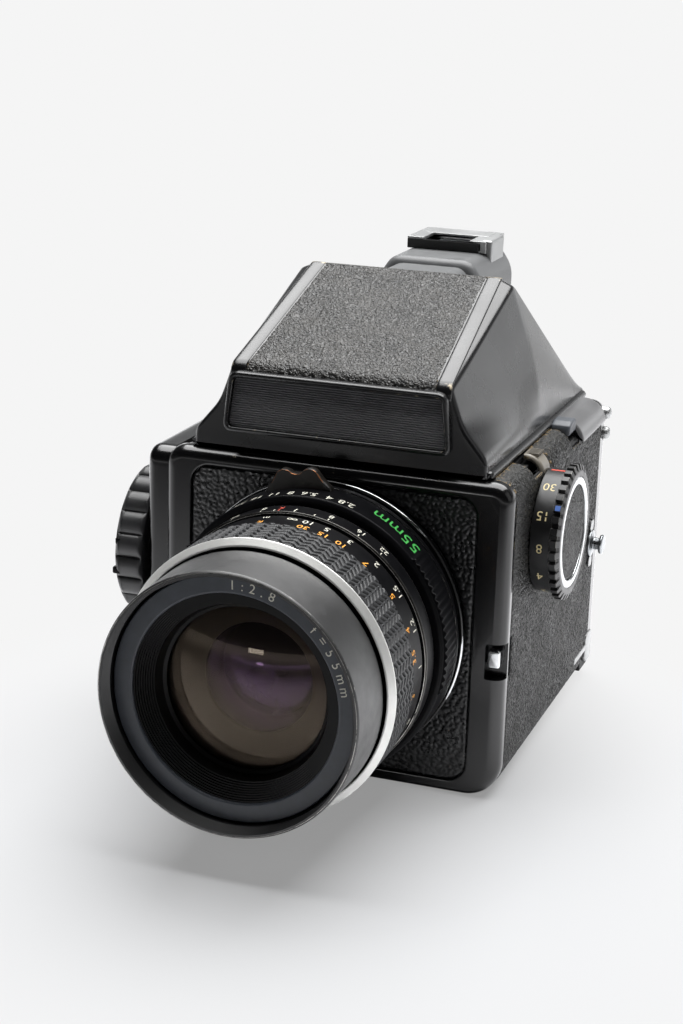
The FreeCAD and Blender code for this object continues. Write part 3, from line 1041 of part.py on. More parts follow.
def build_lens():
    """The lens from its mount to its front rim."""
    core = lens_ring("core", [
        (s.core_rear, s.rear_seat), (s.core_rear, s.core_spigot), (s.bayonet_rear, s.core_spigot),
        (s.bayonet_rear, s.bayonet_size), (s.mount_front, s.bayonet_size), (s.mount_front, s.flange_size),
        (s.flange_front, s.flange_size), (s.flange_front, s.core_size), (s.core_front, s.core_size),
        (s.core_front, s.core_bore), (s.core_step, s.core_bore), (s.core_step, s.core_tube),
        (s.flange_front, s.core_tube), (s.flange_front, s.rear_glass), (0.5, s.rear_glass),
        (0.5, s.rear_seat)])
    node(core, "lens_core")
    node(lens_ring("rear_element", [(0.5, 0), (0.5, s.rear_glass), (s.flange_front, s.rear_glass),
                                    (s.flange_front, 0)]), "rear_glass")
    node(lens_ring("iris_plate", [(s.iris_place, s.iris_open), (s.iris_place, s.core_tube),
                                  (s.iris_place + s.iris_thick, s.core_tube),
                                  (s.iris_place + s.iris_thick, s.iris_open)]), "iris")
    bore = s.core_size + s.shaft_fit
    ring = lens_ring("aperture_blank", [
        (s.aperture_rear, bore), (s.aperture_rear, s.aperture_size),
        (s.aperture_front - 0.4, s.aperture_size),
        (s.aperture_front, s.aperture_size - 0.4), (s.aperture_front, bore)])
    lobes = []
    for side, middle in (("right", s.lobe_right.value), ("left", s.lobe_left.value)):
        lobe = doc.addObject("Part::Cylinder", "lobe_" + side)
        swing = FreeCAD.Rotation(FreeCAD.Vector(0, 1, 0), middle + s.lobe_turn.value / 2)
        tip = FreeCAD.Rotation(FreeCAD.Vector(1, 0, 0), 90)
        upright = FreeCAD.Rotation(FreeCAD.Vector(0, 0, 1), 90)
        lobe.Placement = FreeCAD.Placement(FreeCAD.Vector(), swing.multiply(tip).multiply(upright))
        bind(lobe, "Radius", s.aperture_size + s.lobe_rise)
        bind(lobe, "Height", s.lobe_front - s.lobe_rear)
        bind(lobe, "Angle", s.lobe_turn)
        place(lobe, 0, s.face - s.lobe_rear, s.lens_height)
        lobes.append(lobe)
    hollow = rod("lobe_hollow", "y", s.aperture_size - 1, (0, s.lens_height),
                 (s.face - s.lobe_front - 1, s.face - s.lobe_rear + 1))
    node(fuse("aperture", [ring, cut("lobes", fuse("lobe_pair", lobes), [hollow])]), "aperture_ring")

    turn = math.radians(s.claw_turn.value)

    def claw_point(along_ring, radius):
        """A point by its distance along the ring from the claw's middle and its radius."""
        return (along_ring * math.cos(turn) + radius * math.sin(turn),
                s.lens_height + radius * math.cos(turn) - along_ring * math.sin(turn))

    half, horn, size = s.claw_half, s.claw_horn, s.aperture_size
    claw = slab("claw_blank", "XZ_Plane", [
        claw_point(*spot) for spot in (
            (-half, size - 1.5), (half, size - 1.5), (half, size - 0.4), (horn, size + 4.4),
            (horn - 1.6, size + horn), (1.3, size + horn), (0.9, size + 3.7),
            (-0.9, size + 3.7),
            (-1.3, size + horn), (1.6 - horn, size + horn), (-horn, size + 4.4),
            (-half, size - 0.4))],
        s.face - s.claw_rear, s.claw_front - s.claw_rear)
    seat = rod("claw_seat", "y", size, (0, s.lens_height), (s.face - 20, s.face))
    node(cut("claw", claw, [seat]), "aperture_claw")

    node(lens_ring("scale", [(s.scale_rear, s.core_size), (s.scale_rear, s.scale_size - 0.3),
                             (s.scale_rear + 0.3, s.scale_size), (s.scale_front - 0.4, s.scale_size),
                             (s.scale_front, s.scale_size - 0.4), (s.scale_front, s.core_size)]),
         "depth_scale_ring")
    node(lens_ring("focus", [
        (s.focus_rear, bore), (s.focus_rear, s.focus_size), (s.grip_rear, s.focus_size),
        (s.grip_rear, s.grip_seat), (s.grip_front, s.grip_seat), (s.grip_front, s.focus_bore),
        (s.core_front - 0.4, s.focus_bore), (s.core_front - 0.4, bore)]), "focus_ring")
    node(lens_ring("grip", [(s.grip_rear, s.grip_seat), (s.grip_rear, s.grip_size),
                            (s.grip_front, s.grip_size), (s.grip_front, s.grip_seat)]), "focus_grip")
    node(lens_ring("trim", [(s.grip_front, s.focus_bore), (s.grip_front, s.grip_size),
                            (s.focus_front - 0.3, s.grip_size), (s.focus_front, s.grip_size - 0.3),
                            (s.focus_front, s.focus_bore)]), "focus_front_ring")
    node(lens_ring("barrel", [
        (s.barrel_rear, s.barrel_tube), (s.barrel_rear, s.barrel_slide), (s.barrel_step, s.barrel_slide),
        (s.barrel_step, s.neck_size), (s.neck_front, s.neck_size), (s.neck_front, s.barrel_size_rear),
        (s.rim_place - 0.6, s.rim_size), (s.rim_place, s.rim_size - 0.4), (s.rim_place, s.thread_wall),
        (s.name_place, s.thread_wall), (s.name_place, s.name_size),
        (s.name_place - s.name_thick, s.name_size), (s.name_place - s.name_thick, s.glass_size),
        (s.glass_rear, s.glass_size), (s.glass_rear, s.glass_size - 1.6),
        (s.glass_rear - 1, s.glass_size - 1.6),
        (s.glass_rear - 1, s.barrel_tube)]), "front_barrel")
    node(lens_ring("name_disc", [
        (s.name_place - s.name_thick, s.name_size), (s.name_place, s.name_size),
        (s.name_place, s.name_bore),
        (s.cone_bottom, s.cone_bore), (s.glass_edge + 0.1, s.cone_bore), (s.glass_edge + 0.1, s.glass_size),
        (s.name_place - s.name_thick, s.glass_size)]), "name_ring")
    node(lens_ring("front_element", [
        (s.glass_rear, 0), (s.glass_rear, s.glass_size), (s.glass_edge, s.glass_size),
        (s.glass_edge, s.cone_bore - 0.1),
        (s.glass_edge + (s.glass_crown - s.glass_edge) * 0.44, s.cone_bore * 0.75),
        (s.glass_edge + (s.glass_crown - s.glass_edge) * 0.75, s.cone_bore * 0.5),
        (s.glass_edge + (s.glass_crown - s.glass_edge) * 0.94, s.cone_bore * 0.25), (s.glass_crown, 0)]),
        "front_glass")


for build in (build_front_frame, build_front_skin, build_case, build_side_skin, build_housing, build_knob,
              build_gears, build_dial, build_small_controls, build_mirror_box, build_shutter, build_film,
              build_door, build_base, build_finder, build_lens):
    build()

doc.recompute()
faults = [thing.Name for thing in doc.Objects if "Invalid" in thing.State or "Error" in thing.State]
faults += [thing.Label for thing in NODES if thing.Shape.isNull() or not thing.Shape.isValid()
           or len(thing.Shape.Solids) != 1]
if faults:
    raise RuntimeError("these did not build: " + ", ".join(faults))
os.makedirs("parts", exist_ok=True)
for thing in NODES:
    thing.Shape.exportStep(os.path.join("parts", thing.Label + ".step"))
print(len(NODES), "pieces written")
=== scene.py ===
import json
import math

import bmesh
import bpy
import numpy as np
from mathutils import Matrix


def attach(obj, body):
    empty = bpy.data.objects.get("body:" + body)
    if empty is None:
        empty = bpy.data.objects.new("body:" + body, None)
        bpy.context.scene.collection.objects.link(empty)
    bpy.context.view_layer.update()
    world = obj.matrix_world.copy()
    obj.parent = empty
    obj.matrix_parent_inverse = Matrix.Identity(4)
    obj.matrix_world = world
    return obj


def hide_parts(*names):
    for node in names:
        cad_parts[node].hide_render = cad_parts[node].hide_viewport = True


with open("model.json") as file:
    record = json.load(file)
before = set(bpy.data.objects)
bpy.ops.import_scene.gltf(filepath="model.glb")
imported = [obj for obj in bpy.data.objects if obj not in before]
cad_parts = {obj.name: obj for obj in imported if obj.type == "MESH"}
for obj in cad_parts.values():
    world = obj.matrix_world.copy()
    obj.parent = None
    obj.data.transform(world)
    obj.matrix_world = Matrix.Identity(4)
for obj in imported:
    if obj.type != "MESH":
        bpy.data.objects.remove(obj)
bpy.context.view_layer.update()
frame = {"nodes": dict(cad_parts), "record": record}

# Medium format film camera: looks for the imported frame.
# Lengths below are millimetres in the frame's own axes; a mesh is turned to metres when it is made.

MM = 0.001
# The plane of the front frame's face (y) and the height of the lens axis (z).
FACE = -40.0
AXIS = 41.5
TAU = 2.0 * math.pi
scene = bpy.context.scene
NODES = frame["nodes"]


# Colours and materials

def linear(code):
    """A web colour as linear red, green, blue and alpha."""
    levels = [int(code[i:i + 2], 16) / 255.0 for i in (1, 3, 5)]
    return [v / 12.92 if v <= 0.04045 else ((v + 0.055) / 1.055) ** 2.4 for v in levels] + [1.0]


def fill(tree, node, inputs):
    """Inputs of a node, as values or as links from other sockets."""
    for key, value in inputs.items():
        if isinstance(value, bpy.types.NodeSocket):
            tree.links.new(value, node.inputs[key])
        else:
            node.inputs[key].default_value = value


def add_node(tree, kind, settings=None, inputs=None):
    """One shader node with its settings and its inputs."""
    node = tree.nodes.new(kind)
    for key, value in (settings or {}).items():
        setattr(node, key, value)
    fill(tree, node, inputs or {})
    return node


def object_place(tree):
    """Where a point lies in the object's own axes, in metres."""
    return add_node(tree, "ShaderNodeTexCoord").outputs["Object"]


def ranged(tree, value, low, high, to_low=0.0, to_high=1.0, soft=False):
    """A value carried from one range to another and held at its ends, with a soft start and end if asked."""
    return add_node(tree, "ShaderNodeMapRange", {"interpolation_type": "SMOOTHSTEP" if soft else "LINEAR"}, {
        "Value": value, "From Min": low, "From Max": high, "To Min": to_low, "To Max": to_high}).outputs[0]


def blended(tree, share, first, second):
    """A colour between two others, each a web colour or a socket."""
    first, second = [linear(colour) if isinstance(colour, str) else colour for colour in (first, second)]
    mix = add_node(tree, "ShaderNodeMix", {"data_type": "RGBA"}, {0: share, 6: first, 7: second})
    return mix.outputs[2]


def mixed(tree, share, first, second):
    """A number between two others."""
    return add_node(tree, "ShaderNodeMix", {"data_type": "FLOAT"}, {0: share, 2: first, 3: second}).outputs[0]


def computed(tree, operation, first, second):
    """The sum or the product of two numbers."""
    return add_node(tree, "ShaderNodeMath", {"operation": operation}, {0: first, 1: second}).outputs[0]


def noise(tree, place, scale, detail=2.0, roughness=0.5):
    """A noise between nothing and one."""
    return add_node(tree, "ShaderNodeTexNoise", inputs={
        "Vector": place, "Scale": scale, "Detail": detail, "Roughness": roughness}).outputs["Fac"]


def bumped(tree, height, depth, strength=1.0):
    """A normal bent by a height; depth in millimetres."""
    return add_node(tree, "ShaderNodeBump", inputs={
        "Height": height, "Distance": depth * MM, "Strength": strength}).outputs["Normal"]


def blank_material(name):
    """An empty material with a principled shader on its output."""
    material = bpy.data.materials.new(name)
    material.use_nodes = True
    tree = material.node_tree
    tree.nodes.clear()
    shader = add_node(tree, "ShaderNodeBsdfPrincipled")
    add_node(tree, "ShaderNodeOutputMaterial", inputs={"Surface": shader.outputs[0]})
    return material, tree, shader


def mottled(tree, spot, low, high, first, second):
    """A colour between two others by a noise of a given spot size in millimetres, and its share."""
    share = ranged(tree, noise(tree, object_place(tree), 1000.0 / spot, 4.0, 0.6), low, high)
    return blended(tree, share, first, second), share


def coating(name, dark, light, rough, spot, depth, metallic=0.0, ior=1.5, coat=0.0, worn=None):
    """A finish with slow colour and gloss changes, a fine grain, and bare metal where the piece is worn."""
    material, tree, shader = blank_material(name)
    colour, share = mottled(tree, spot * 14, 0.3, 0.7, dark, light)
    gloss = ranged(tree, share, 0.0, 1.0, *rough)
    if worn:
        mark = add_node(tree, "ShaderNodeAttribute", {"attribute_name": "wear_and_shade"}).outputs["Fac"]
        chips = noise(tree, object_place(tree), 420.0, 6.0, 0.7)
        edge = ranged(tree, computed(tree, "ADD", mark, chips), 1.02, 1.14)
        colour = blended(tree, edge, colour, worn)
        gloss = mixed(tree, edge, gloss, 0.34)
        metallic = computed(tree, "MULTIPLY", edge, 0.9)
    grain = bumped(tree, noise(tree, object_place(tree), 1000.0 / spot), depth)
    fill(tree, shader, {"Base Color": colour, "Roughness": gloss, "Metallic": metallic, "IOR": ior,
                        "Coat Weight": coat, "Normal": grain})
    return material


def embossed(name, dark, light, size, depth, rough, ior=1.5):
    """Pebbled skin: painted shade near black in the creases and a painted highlight on the paler tops, by the
    height on its points; fine pores, torn fibres.

    Fibres show where that height and a fine noise come to two together.
    """
    material, tree, shader = blank_material(name)
    place = object_place(tree)
    # The point attribute read here holds the skin's height plus its rubbed fibres; its low places are painted
    # as shade.
    mark = add_node(tree, "ShaderNodeAttribute", {"attribute_name": "wear_and_shade"}).outputs["Fac"]
    pores = add_node(tree, "ShaderNodeTexVoronoi", {"feature": "DISTANCE_TO_EDGE"}, {
        "Vector": place, "Scale": 1000.0 / size})
    fine = ranged(tree, pores.outputs["Distance"], 0.0, 0.3, soft=True)
    slow, share = mottled(tree, size * 9.0, 0.35, 0.65, dark, light)
    # Painted shade: low points go near black, high points take the paler tone as a painted highlight.
    tone = blended(tree, ranged(tree, mark, 0.2, 0.7, soft=True), "#0a0a0a", slow)
    torn = noise(tree, place, 1500.0, 5.0)
    edge = ranged(tree, computed(tree, "ADD", mark, torn), 1.9, 2.1)
    fill(tree, shader, {"Base Color": blended(tree, edge, tone, "#6b5a3c"), "IOR": ior,
                        "Roughness": ranged(tree, share, 0.0, 1.0, *rough),
                        "Normal": bumped(tree, fine, depth, 0.8)})
    return material


def coated_glass(name, through, thrown, ior):
    """Lens glass seen through its coating: it lets light by and throws back a hue, more of it aslant."""
    material, tree, _ = blank_material(name)
    tree.nodes.clear()
    clear = add_node(tree, "ShaderNodeBsdfTransparent", inputs={"Color": linear(through)})
    haze = ranged(tree, noise(tree, object_place(tree), 160.0, 3.0), 0.4, 0.7, 0.0, 0.02)
    sheen = add_node(tree, "ShaderNodeBsdfGlossy", inputs={"Color": linear(thrown), "Roughness": haze})
    slant = add_node(tree, "ShaderNodeFresnel", inputs={"IOR": ior})
    mix = add_node(tree, "ShaderNodeMixShader", inputs={
        0: slant.outputs[0], 1: clear.outputs[0], 2: sheen.outputs[0]})
    add_node(tree, "ShaderNodeOutputMaterial", inputs={"Surface": mix.outputs[0]})
    return material


def turned_metal(name, colour, rough, squash):
    """Metal with the fine rings a lathe leaves; squash is 30 along the axis that they run about."""
    material, tree, shader = blank_material(name)
    stretched = add_node(tree, "ShaderNodeMapping", inputs={"Vector": object_place(tree), "Scale": squash})
    rings = noise(tree, stretched.outputs[0], 1.0 / (30.0 * 0.09 * MM), 3.0)
    fill(tree, shader, {"Base Color": linear(colour), "Metallic": 1.0, "Normal": bumped(tree, rings, 0.004),
                        "Roughness": ranged(tree, rings, 0.0, 1.0, rough * 0.7, rough * 1.3)})
    return material


def clear_glass(name, tint):
    """Plain optical glass with a trace of dust."""
    material, tree, shader = blank_material(name)
    fill(tree, shader, {"Base Color": linear(tint), "Roughness": 0.0, "IOR": 1.52, "Transmission Weight": 1.0,
                        "Normal": bumped(tree, noise(tree, object_place(tree), 1000.0 / 9.0), 0.0006)})
    return material


def paint(name, colour):
    """Engraving filled with enamel: flat, slightly chalky."""
    return coating(name, colour, colour, (0.5, 0.6), 0.3, 0.002)


# Stove enamel on cast alloy: deep black, half gloss, a faint orange peel, brassy grey where rubbed through.
ENAMEL = coating("stove_enamel", "#080809", "#0b0b0c", (0.15, 0.22), 1.6, 0.006, coat=0.15, worn="#a79c88")
# Paint of the finder: a shade paler than the body's, with a softer shine and a thinner clear coat.
GLOSS_ENAMEL = coating("glossy_enamel", "#0a0a0b", "#0e0e10", (0.24, 0.32), 1.6, 0.004, coat=0.1,
                       worn="#b5aa95")
# Embossed vinyl skin: rubbed semi-matt tops over duller hollows, with painted shade in its creases.
LEATHER = embossed("embossed_vinyl", "#1b1b1b", "#282826", 0.85, 0.16, (0.4, 0.5), ior=1.38)
# The skin of the front panel: the same vinyl, glossier, with finer and shallower pores.
FRONT_LEATHER = embossed("embossed_vinyl_front", "#141516", "#1c1d1e", 0.45, 0.025, (0.26, 0.34))
# The skin on the roof: the same vinyl, shinier from rubbing, and painted paler and browner as a painted
# highlight from the light above.
LIT_ROOF_LEATHER = embossed("embossed_vinyl_roof_painted_highlight", "#22211f", "#34322f", 0.8, 0.2, (0.3, 0.4))
# Moulded ABS: grey black, lightly polished by handling.
PLASTIC = coating("moulded_abs", "#29292a", "#313132", (0.3, 0.42), 0.5, 0.006, worn="#6d6a66")
# Panel behind the bare name plate: dull, painted mid grey as a painted highlight where light from above
# catches its ribs.
LIT_NAME_PANEL = coating("dull_moulded_abs_painted_highlight", "#5a5a5c", "#646466", (0.45, 0.55), 0.3, 0.006)
# Textured moulding of the eyepiece hump: black, painted mid grey as a painted highlight from the light behind
# it.
LIT_HUMP_MOULDING = coating("textured_moulding_painted_highlight", "#58595a", "#626364", (0.4, 0.5), 0.3, 0.012)
# Black anodised aluminium: satin, hard, silver on its sharpest edges.
ANODISED = coating("black_anodised_aluminium", "#08080a", "#0c0c0e", (0.3, 0.38), 0.22, 0.003, ior=1.18,
                   worn="#bdbbb6")
# Black anodised dial: satin, greyed on the corners of its notches.
DIAL_BLACK = coating("dial_black_anodising", "#0c0c0d", "#121213", (0.34, 0.44), 0.25, 0.004, worn="#8f8d88")
# Barrel: fine satin black that greys where a hood has been pushed on.
BARREL = coating("satin_black_anodising", "#0f0f10", "#161617", (0.38, 0.48), 0.2, 0.004, ior=1.7,
                 worn="#a9a7a3")
# Engraved ring: dull black anodising painted a blue grey as painted light on its face; it reads as dark grey
# in the barrel's shade.
NAME_RING_PAINTED_LIGHT = coating("dull_black_anodising", "#34383e", "#3c4047", (0.34, 0.42), 0.2, 0.004)
# Stepped cone inside the engraved ring: flat black.
CONE_BLACK = coating("ribbed_baffle_black", "#050505", "#080808", (0.42, 0.5), 0.3, 0.003, ior=1.3)
# Baffle paint inside the lens and body: no gloss at all.
BAFFLE = coating("flat_baffle_paint", "#060606", "#0a0a0b", (0.6, 0.75), 0.3, 0.01)
# Black paint inside the cells, seen through the glass, painted a warm mid brown as painted light for what
# reaches it through the glass.
LIT_CELL_WALL = coating("cell_wall_paint_painted_light", "#574f44", "#655c50", (0.4, 0.5), 0.8, 0.003)
# Black enamel of the coupling claw, rubbed to copper along its edges.
CLAW_ENAMEL = coating("rubbed_enamel", "#0f0e0d", "#17130f", (0.3, 0.42), 0.6, 0.008, worn="#8a5a38")
# Cover of the rear shoulder: the body's black enamel, painted satin mid grey as a painted reflection.
SHOULDER_PAINTED_REFLECTION = coating("shoulder_paint_painted_reflection", "#565657", "#606061", (0.3, 0.4), 0.9, 0.006, coat=0.2)
# Painted steel button of the finder release: dull blue grey.
BUTTON_GREY = coating("grey_button_paint", "#44484d", "#50545a", (0.42, 0.52), 0.5, 0.006)
# Nitrile rubber: dark grey bloom, soft sheen.
RUBBER = coating("nitrile_rubber", "#141517", "#1d1e20", (0.4, 0.52), 0.25, 0.01)
# Moulded rubber of the grip: grey black between its slits, and painted shade near black within them.
GRIP_RUBBER = embossed("grip_rubber", "#202123", "#28292b", 0.4, 0.01, (0.46, 0.56))
# Chrome plate with light handling marks.
CHROME = coating("chrome_plate", "#cfd1d2", "#dcdedf", (0.1, 0.2), 2.0, 0.004, metallic=1.0)
# Satin chromed steel of the shoe and the rear fittings.
SATIN_STEEL = coating("satin_chromed_steel", "#9c9d9d", "#aaabab", (0.34, 0.44), 1.2, 0.004, metallic=0.9)
# Satin plated trim in front of the grip: near white, its plating slightly dulled.
TRIM_PLATE = coating("satin_trim_plate", "#ecece9", "#e0e0dd", (0.3, 0.42), 0.3, 0.003, metallic=0.5)
# The depth scale's thin edge: black paint shown as a dark grey metal bead, a dim bright line that is a
# painted highlight.
EDGE_PAINTED_HIGHLIGHT = coating("edge_painted_highlight_metal", "#3b3a38", "#4a4947", (0.24, 0.34), 0.5, 0.004, metallic=0.9)
# Lever plated in brass, its dark plating nearly gone from the top.
LEVER_BRASS = coating("rubbed_lever_plate", "#6f6a61", "#7c766b", (0.3, 0.42), 0.4, 0.008, metallic=0.8,
                      worn="#b79a5e")
# Ground steel of axles, pins and the strap lug: mid grey, softly bright.
STEEL = coating("ground_steel", "#8d9093", "#a4a7a9", (0.25, 0.38), 0.6, 0.004, metallic=1.0)
# Brass bush and spindles: warm and softly bright.
BRASS = coating("machined_brass", "#a98847", "#bf9d58", (0.25, 0.36), 0.6, 0.004, metallic=1.0)
# Zinc plated stampings: dull grey metal.
ZINC = coating("zinc_plate", "#7d7f82", "#919396", (0.3, 0.45), 1.0, 0.006, metallic=1.0)
# Bright turned aluminium about the lens axis: fine rings in its shine.
SILVER = turned_metal("turned_aluminium", "#dcdddd", 0.36, (1.0, 30.0, 1.0))
# The same turned finish about the dial's axis, glossier.
DIAL_SILVER = turned_metal("dial_aluminium", "#b7b9ba", 0.26, (30.0, 1.0, 1.0))
# Black paper and foil behind the film: flat, warm black.
PAPER = coating("backing_paper", "#26221d", "#332d26", (0.6, 0.7), 0.4, 0.01)
# Rubberised silk of the shutter: flat black with a weave's grain.
CLOTH = coating("rubberised_silk", "#0c0c0c", "#151515", (0.6, 0.75), 0.2, 0.02)
# Front-silvered mirror: bright and nearly flawless.
MIRROR = coating("front_silvered_glass", "#e4e6e8", "#eceeef", (0.01, 0.03), 4.0, 0.0005, metallic=1.0)
# Plain glass of prism and screen: clear.
PLAIN_GLASS = clear_glass("crown_glass", "#f4f7f6")
# Coated front glass: clear, with pale amber reflections.
FRONT_GLASS = coated_glass("coated_glass_clear", "#f2f0ee", "#e8d6c2", 1.42)
# Second element: a violet reflection inside the lens.
INNER_GLASS = coated_glass("coated_glass_violet", "#cfc4d4", "#b59ad0", 1.9)
# The last surface that can be seen before the iris: opaque, mottled dark violet and brown as a painted
# reflection of its surroundings, with a soft shine.
PAINTED_REFLECTION_GLASS = coating("painted_reflection_glass", "#1b1826", "#4a4043", (0.12, 0.2), 0.9, 0.0, ior=1.6, coat=0.4)
# Paint of most figures: a chalky off-white.
WHITE_FILL = paint("white_engraving_fill", "#cfcdc0")
# Paint of the infrared mark and the dial's index: dull red.
RED_FILL = paint("red_engraving_fill", "#b8402f")
# Paint of the distances in feet: warm orange.
ORANGE_FILL = paint("orange_engraving_fill", "#eda338")
# Paint of the focal length: fresh green.
GREEN_FILL = paint("green_engraving_fill", "#3ea54a")
# Paint of the dial's figures: cream.
CREAM_FILL = paint("cream_engraving_fill", "#d2c393")
# Paint of the dial's small mark: mid blue.
BLUE_FILL = paint("blue_engraving_fill", "#3f63a8")

# The finish for each material slot of the record; every CAD node gets the one of its slot.
SLOT_FINISH = {"black_enamel": ENAMEL, "leatherette": LEATHER, "cast_alloy": BAFFLE,
               "gloss_plastic_black": PLASTIC, "black_anodised": ANODISED, "steel": STEEL, "chrome": CHROME,
               "satin_alloy": SILVER, "brass": BRASS, "rubber": RUBBER, "glass": PLAIN_GLASS,
               "mirror": MIRROR, "cloth": CLOTH, "film_paper": PAPER, "grey_metal": ZINC}
for part in frame["record"]["subparts"]:
    for holder in NODES[part["node"]].material_slots:
        holder.link = "OBJECT"
        holder.material = SLOT_FINISH[part["material_slot"]]


# Camera, lamps and room

# The photograph's camera, found by fitting the object's own edges in it.
CAMERA_AZIMUTH = math.radians(19.46)
CAMERA_TILT = math.radians(16.65)
CAMERA_ROLL = math.radians(1.69)
CAMERA_PLACE = np.array([155.5, -473.6, 205.3]) * MM
CAMERA_LENS = 70.94

# The floor close to the camera: its paper's tone, and the share of its own glow that the camera sees there.
PAPER_SHOWN = "#b0b1b3"
FLOOR_GLOW = 0.31
# The room's brightness ahead of the object and behind it, and the share left of either high up.
ROOM_FRONT = 0.08
ROOM_BACK = 2.0
ROOM_HIGH = 0.14

# Softboxes: name, place, the point it faces, width and height, watts; lengths in metres.
LAMPS = (("softbox_above", (0.0, 0.25, 1.1), (0.0, 0.0, 0.05), (1.3, 1.3), 40.0),
         ("softbox_right", (1.1, -0.1, 0.6), (0.0, 0.0, 0.05), (0.8, 0.8), 1.2),
         ("far_window", (-0.36, -1.55, 0.02), (0.0, -0.1, 0.04), (0.2, 0.07), 0.42))


def make_camera():
    """A camera whose axes come from its azimuth, tilt and roll."""
    data = bpy.data.cameras.new("camera")
    data.sensor_width = 36.0
    data.lens = CAMERA_LENS
    camera = bpy.data.objects.new("camera", data)
    scene.collection.objects.link(camera)
    back = np.array([math.sin(CAMERA_AZIMUTH) * math.cos(CAMERA_TILT),
                     -math.cos(CAMERA_AZIMUTH) * math.cos(CAMERA_TILT), math.sin(CAMERA_TILT)])
    right = np.cross(-back, [0.0, 0.0, 1.0])
    right /= np.linalg.norm(right)
    up = np.cross(right, -back)
    cos, sin = math.cos(CAMERA_ROLL), math.sin(CAMERA_ROLL)
    matrix = np.eye(4)
    matrix[:3, 0] = right * cos + up * sin
    matrix[:3, 1] = up * cos - right * sin
    matrix[:3, 2] = back
    matrix[:3, 3] = CAMERA_PLACE
    camera.matrix_world = [list(row) for row in matrix.T]
    scene.camera = camera


def make_light(name, place, aim, size, watts):
    """A softbox of a width and height that faces a point: its -Z axis is turned there."""
    data = bpy.data.lights.new(name, "AREA")
    data.shape = "RECTANGLE"
    data.size, data.size_y = size
    data.energy = watts
    lamp = bpy.data.objects.new(name, data)
    scene.collection.objects.link(lamp)
    lamp.location = place
    east, north, rise = np.array(aim) - np.array(place)
    lean = math.atan2(math.hypot(east, north), -rise)
    lamp.rotation_euler = (lean, 0.0, math.atan2(north, east) - math.pi / 2)


def make_floor():
    """A floor of paper that glows to the camera, fully from 15 cm away and by a share under the object.

    Other rays see it glow far off alone, most from 90 cm away, and find its paper dark toward the camera.
    """
    reach = 14.0
    mesh = bpy.data.meshes.new("floor")
    mesh.from_pydata([(-reach, -reach, 0), (reach, -reach, 0), (reach, reach, 0), (-reach, reach, 0)], [],
                     [(0, 1, 2, 3)])
    floor = bpy.data.objects.new("floor", mesh)
    scene.collection.objects.link(floor)
    material, tree, _ = blank_material("studio_paper")
    tree.nodes.clear()
    place = object_place(tree)
    ahead = add_node(tree, "ShaderNodeSeparateXYZ", inputs={"Vector": place}).outputs["Y"]
    seen = add_node(tree, "ShaderNodeLightPath").outputs["Is Camera Ray"]
    tone = blended(tree, ranged(tree, ahead, -0.3, -0.08), "#303032", "#f2f2f4")
    paper = add_node(tree, "ShaderNodeBsdfDiffuse", inputs={"Color": blended(tree, seen, tone, PAPER_SHOWN)})
    glow = add_node(tree, "ShaderNodeEmission", inputs={"Color": linear("#f5f5f5"), "Strength": 1.0})
    shift = add_node(tree, "ShaderNodeVectorMath", {"operation": "SUBTRACT"},
                     {0: place, 1: (0.01, -0.07, 0.0)})
    away = add_node(tree, "ShaderNodeVectorMath", {"operation": "LENGTH"},
                    {0: shift.outputs[0]}).outputs["Value"]
    share = mixed(tree, seen, ranged(tree, away, 0.4, 0.9, 0.0, 0.9),
                  ranged(tree, away, 0.05, 0.15, FLOOR_GLOW, 1.0))
    mix = add_node(tree, "ShaderNodeMixShader", inputs={0: share, 1: paper.outputs[0], 2: glow.outputs[0]})
    add_node(tree, "ShaderNodeOutputMaterial", inputs={"Surface": mix.outputs[0]})
    floor.data.materials.append(material)


def make_room():
    """A world that is even to the camera; to the object it is dim ahead, bright behind and darker high up."""
    world = bpy.data.worlds.new("room")
    scene.world = world
    world.use_nodes = True
    tree = world.node_tree
    tree.nodes.clear()
    way = add_node(tree, "ShaderNodeTexCoord").outputs["Generated"]
    split = add_node(tree, "ShaderNodeSeparateXYZ", inputs={"Vector": way})
    behind = ranged(tree, split.outputs["Y"], 0.1, 0.95, ROOM_FRONT, ROOM_BACK, soft=True)
    high = ranged(tree, split.outputs["Z"], 0.06, 0.24, 1.0, ROOM_HIGH, soft=True)
    seen = add_node(tree, "ShaderNodeLightPath").outputs["Is Camera Ray"]
    level = mixed(tree, seen, computed(tree, "MULTIPLY", behind, high), 1.0)
    room = add_node(tree, "ShaderNodeBackground", inputs={"Color": linear("#f4f5f6"), "Strength": level})
    add_node(tree, "ShaderNodeOutputWorld", inputs={"Surface": room.outputs[0]})


make_camera()
make_floor()
make_room()
for lamp in LAMPS:
    make_light(*lamp)
scene.view_settings.view_transform = "Standard"


# Surfaces

def grid_faces(rows, columns, close_rows, close_columns):
    """Four-sided faces between neighbouring points of a grid, closed into a loop either way if asked."""
    r, c = np.meshgrid(np.arange(rows if close_rows else rows - 1),
                       np.arange(columns if close_columns else columns - 1), indexing="ij")
    below, beside = (r + 1) % rows, (c + 1) % columns
    return np.stack([r * columns + c, r * columns + beside, below * columns + beside, below * columns + c],
                    -1).reshape(-1, 4)


def tube_faces(rows, columns, all_round=True):
    """Faces of a run of outlines with both of its ends closed."""
    ends = [list(range(columns)), list(range((rows - 1) * columns, rows * columns))]
    return grid_faces(rows, columns, False, all_round).tolist() + ends


def joined(parts):
    """Several (points, faces, wear) put in one, with the faces renumbered."""
    starts = np.cumsum([0] + [len(part[0]) for part in parts[:-1]])
    points = np.concatenate([part[0] for part in parts])
    wear_and_shade = np.concatenate([np.broadcast_to(part[2], len(part[0])) for part in parts])
    faces = [list(np.array(face) + start) for part, start in zip(parts, starts) for face in part[1]]
    return points, faces, wear_and_shade


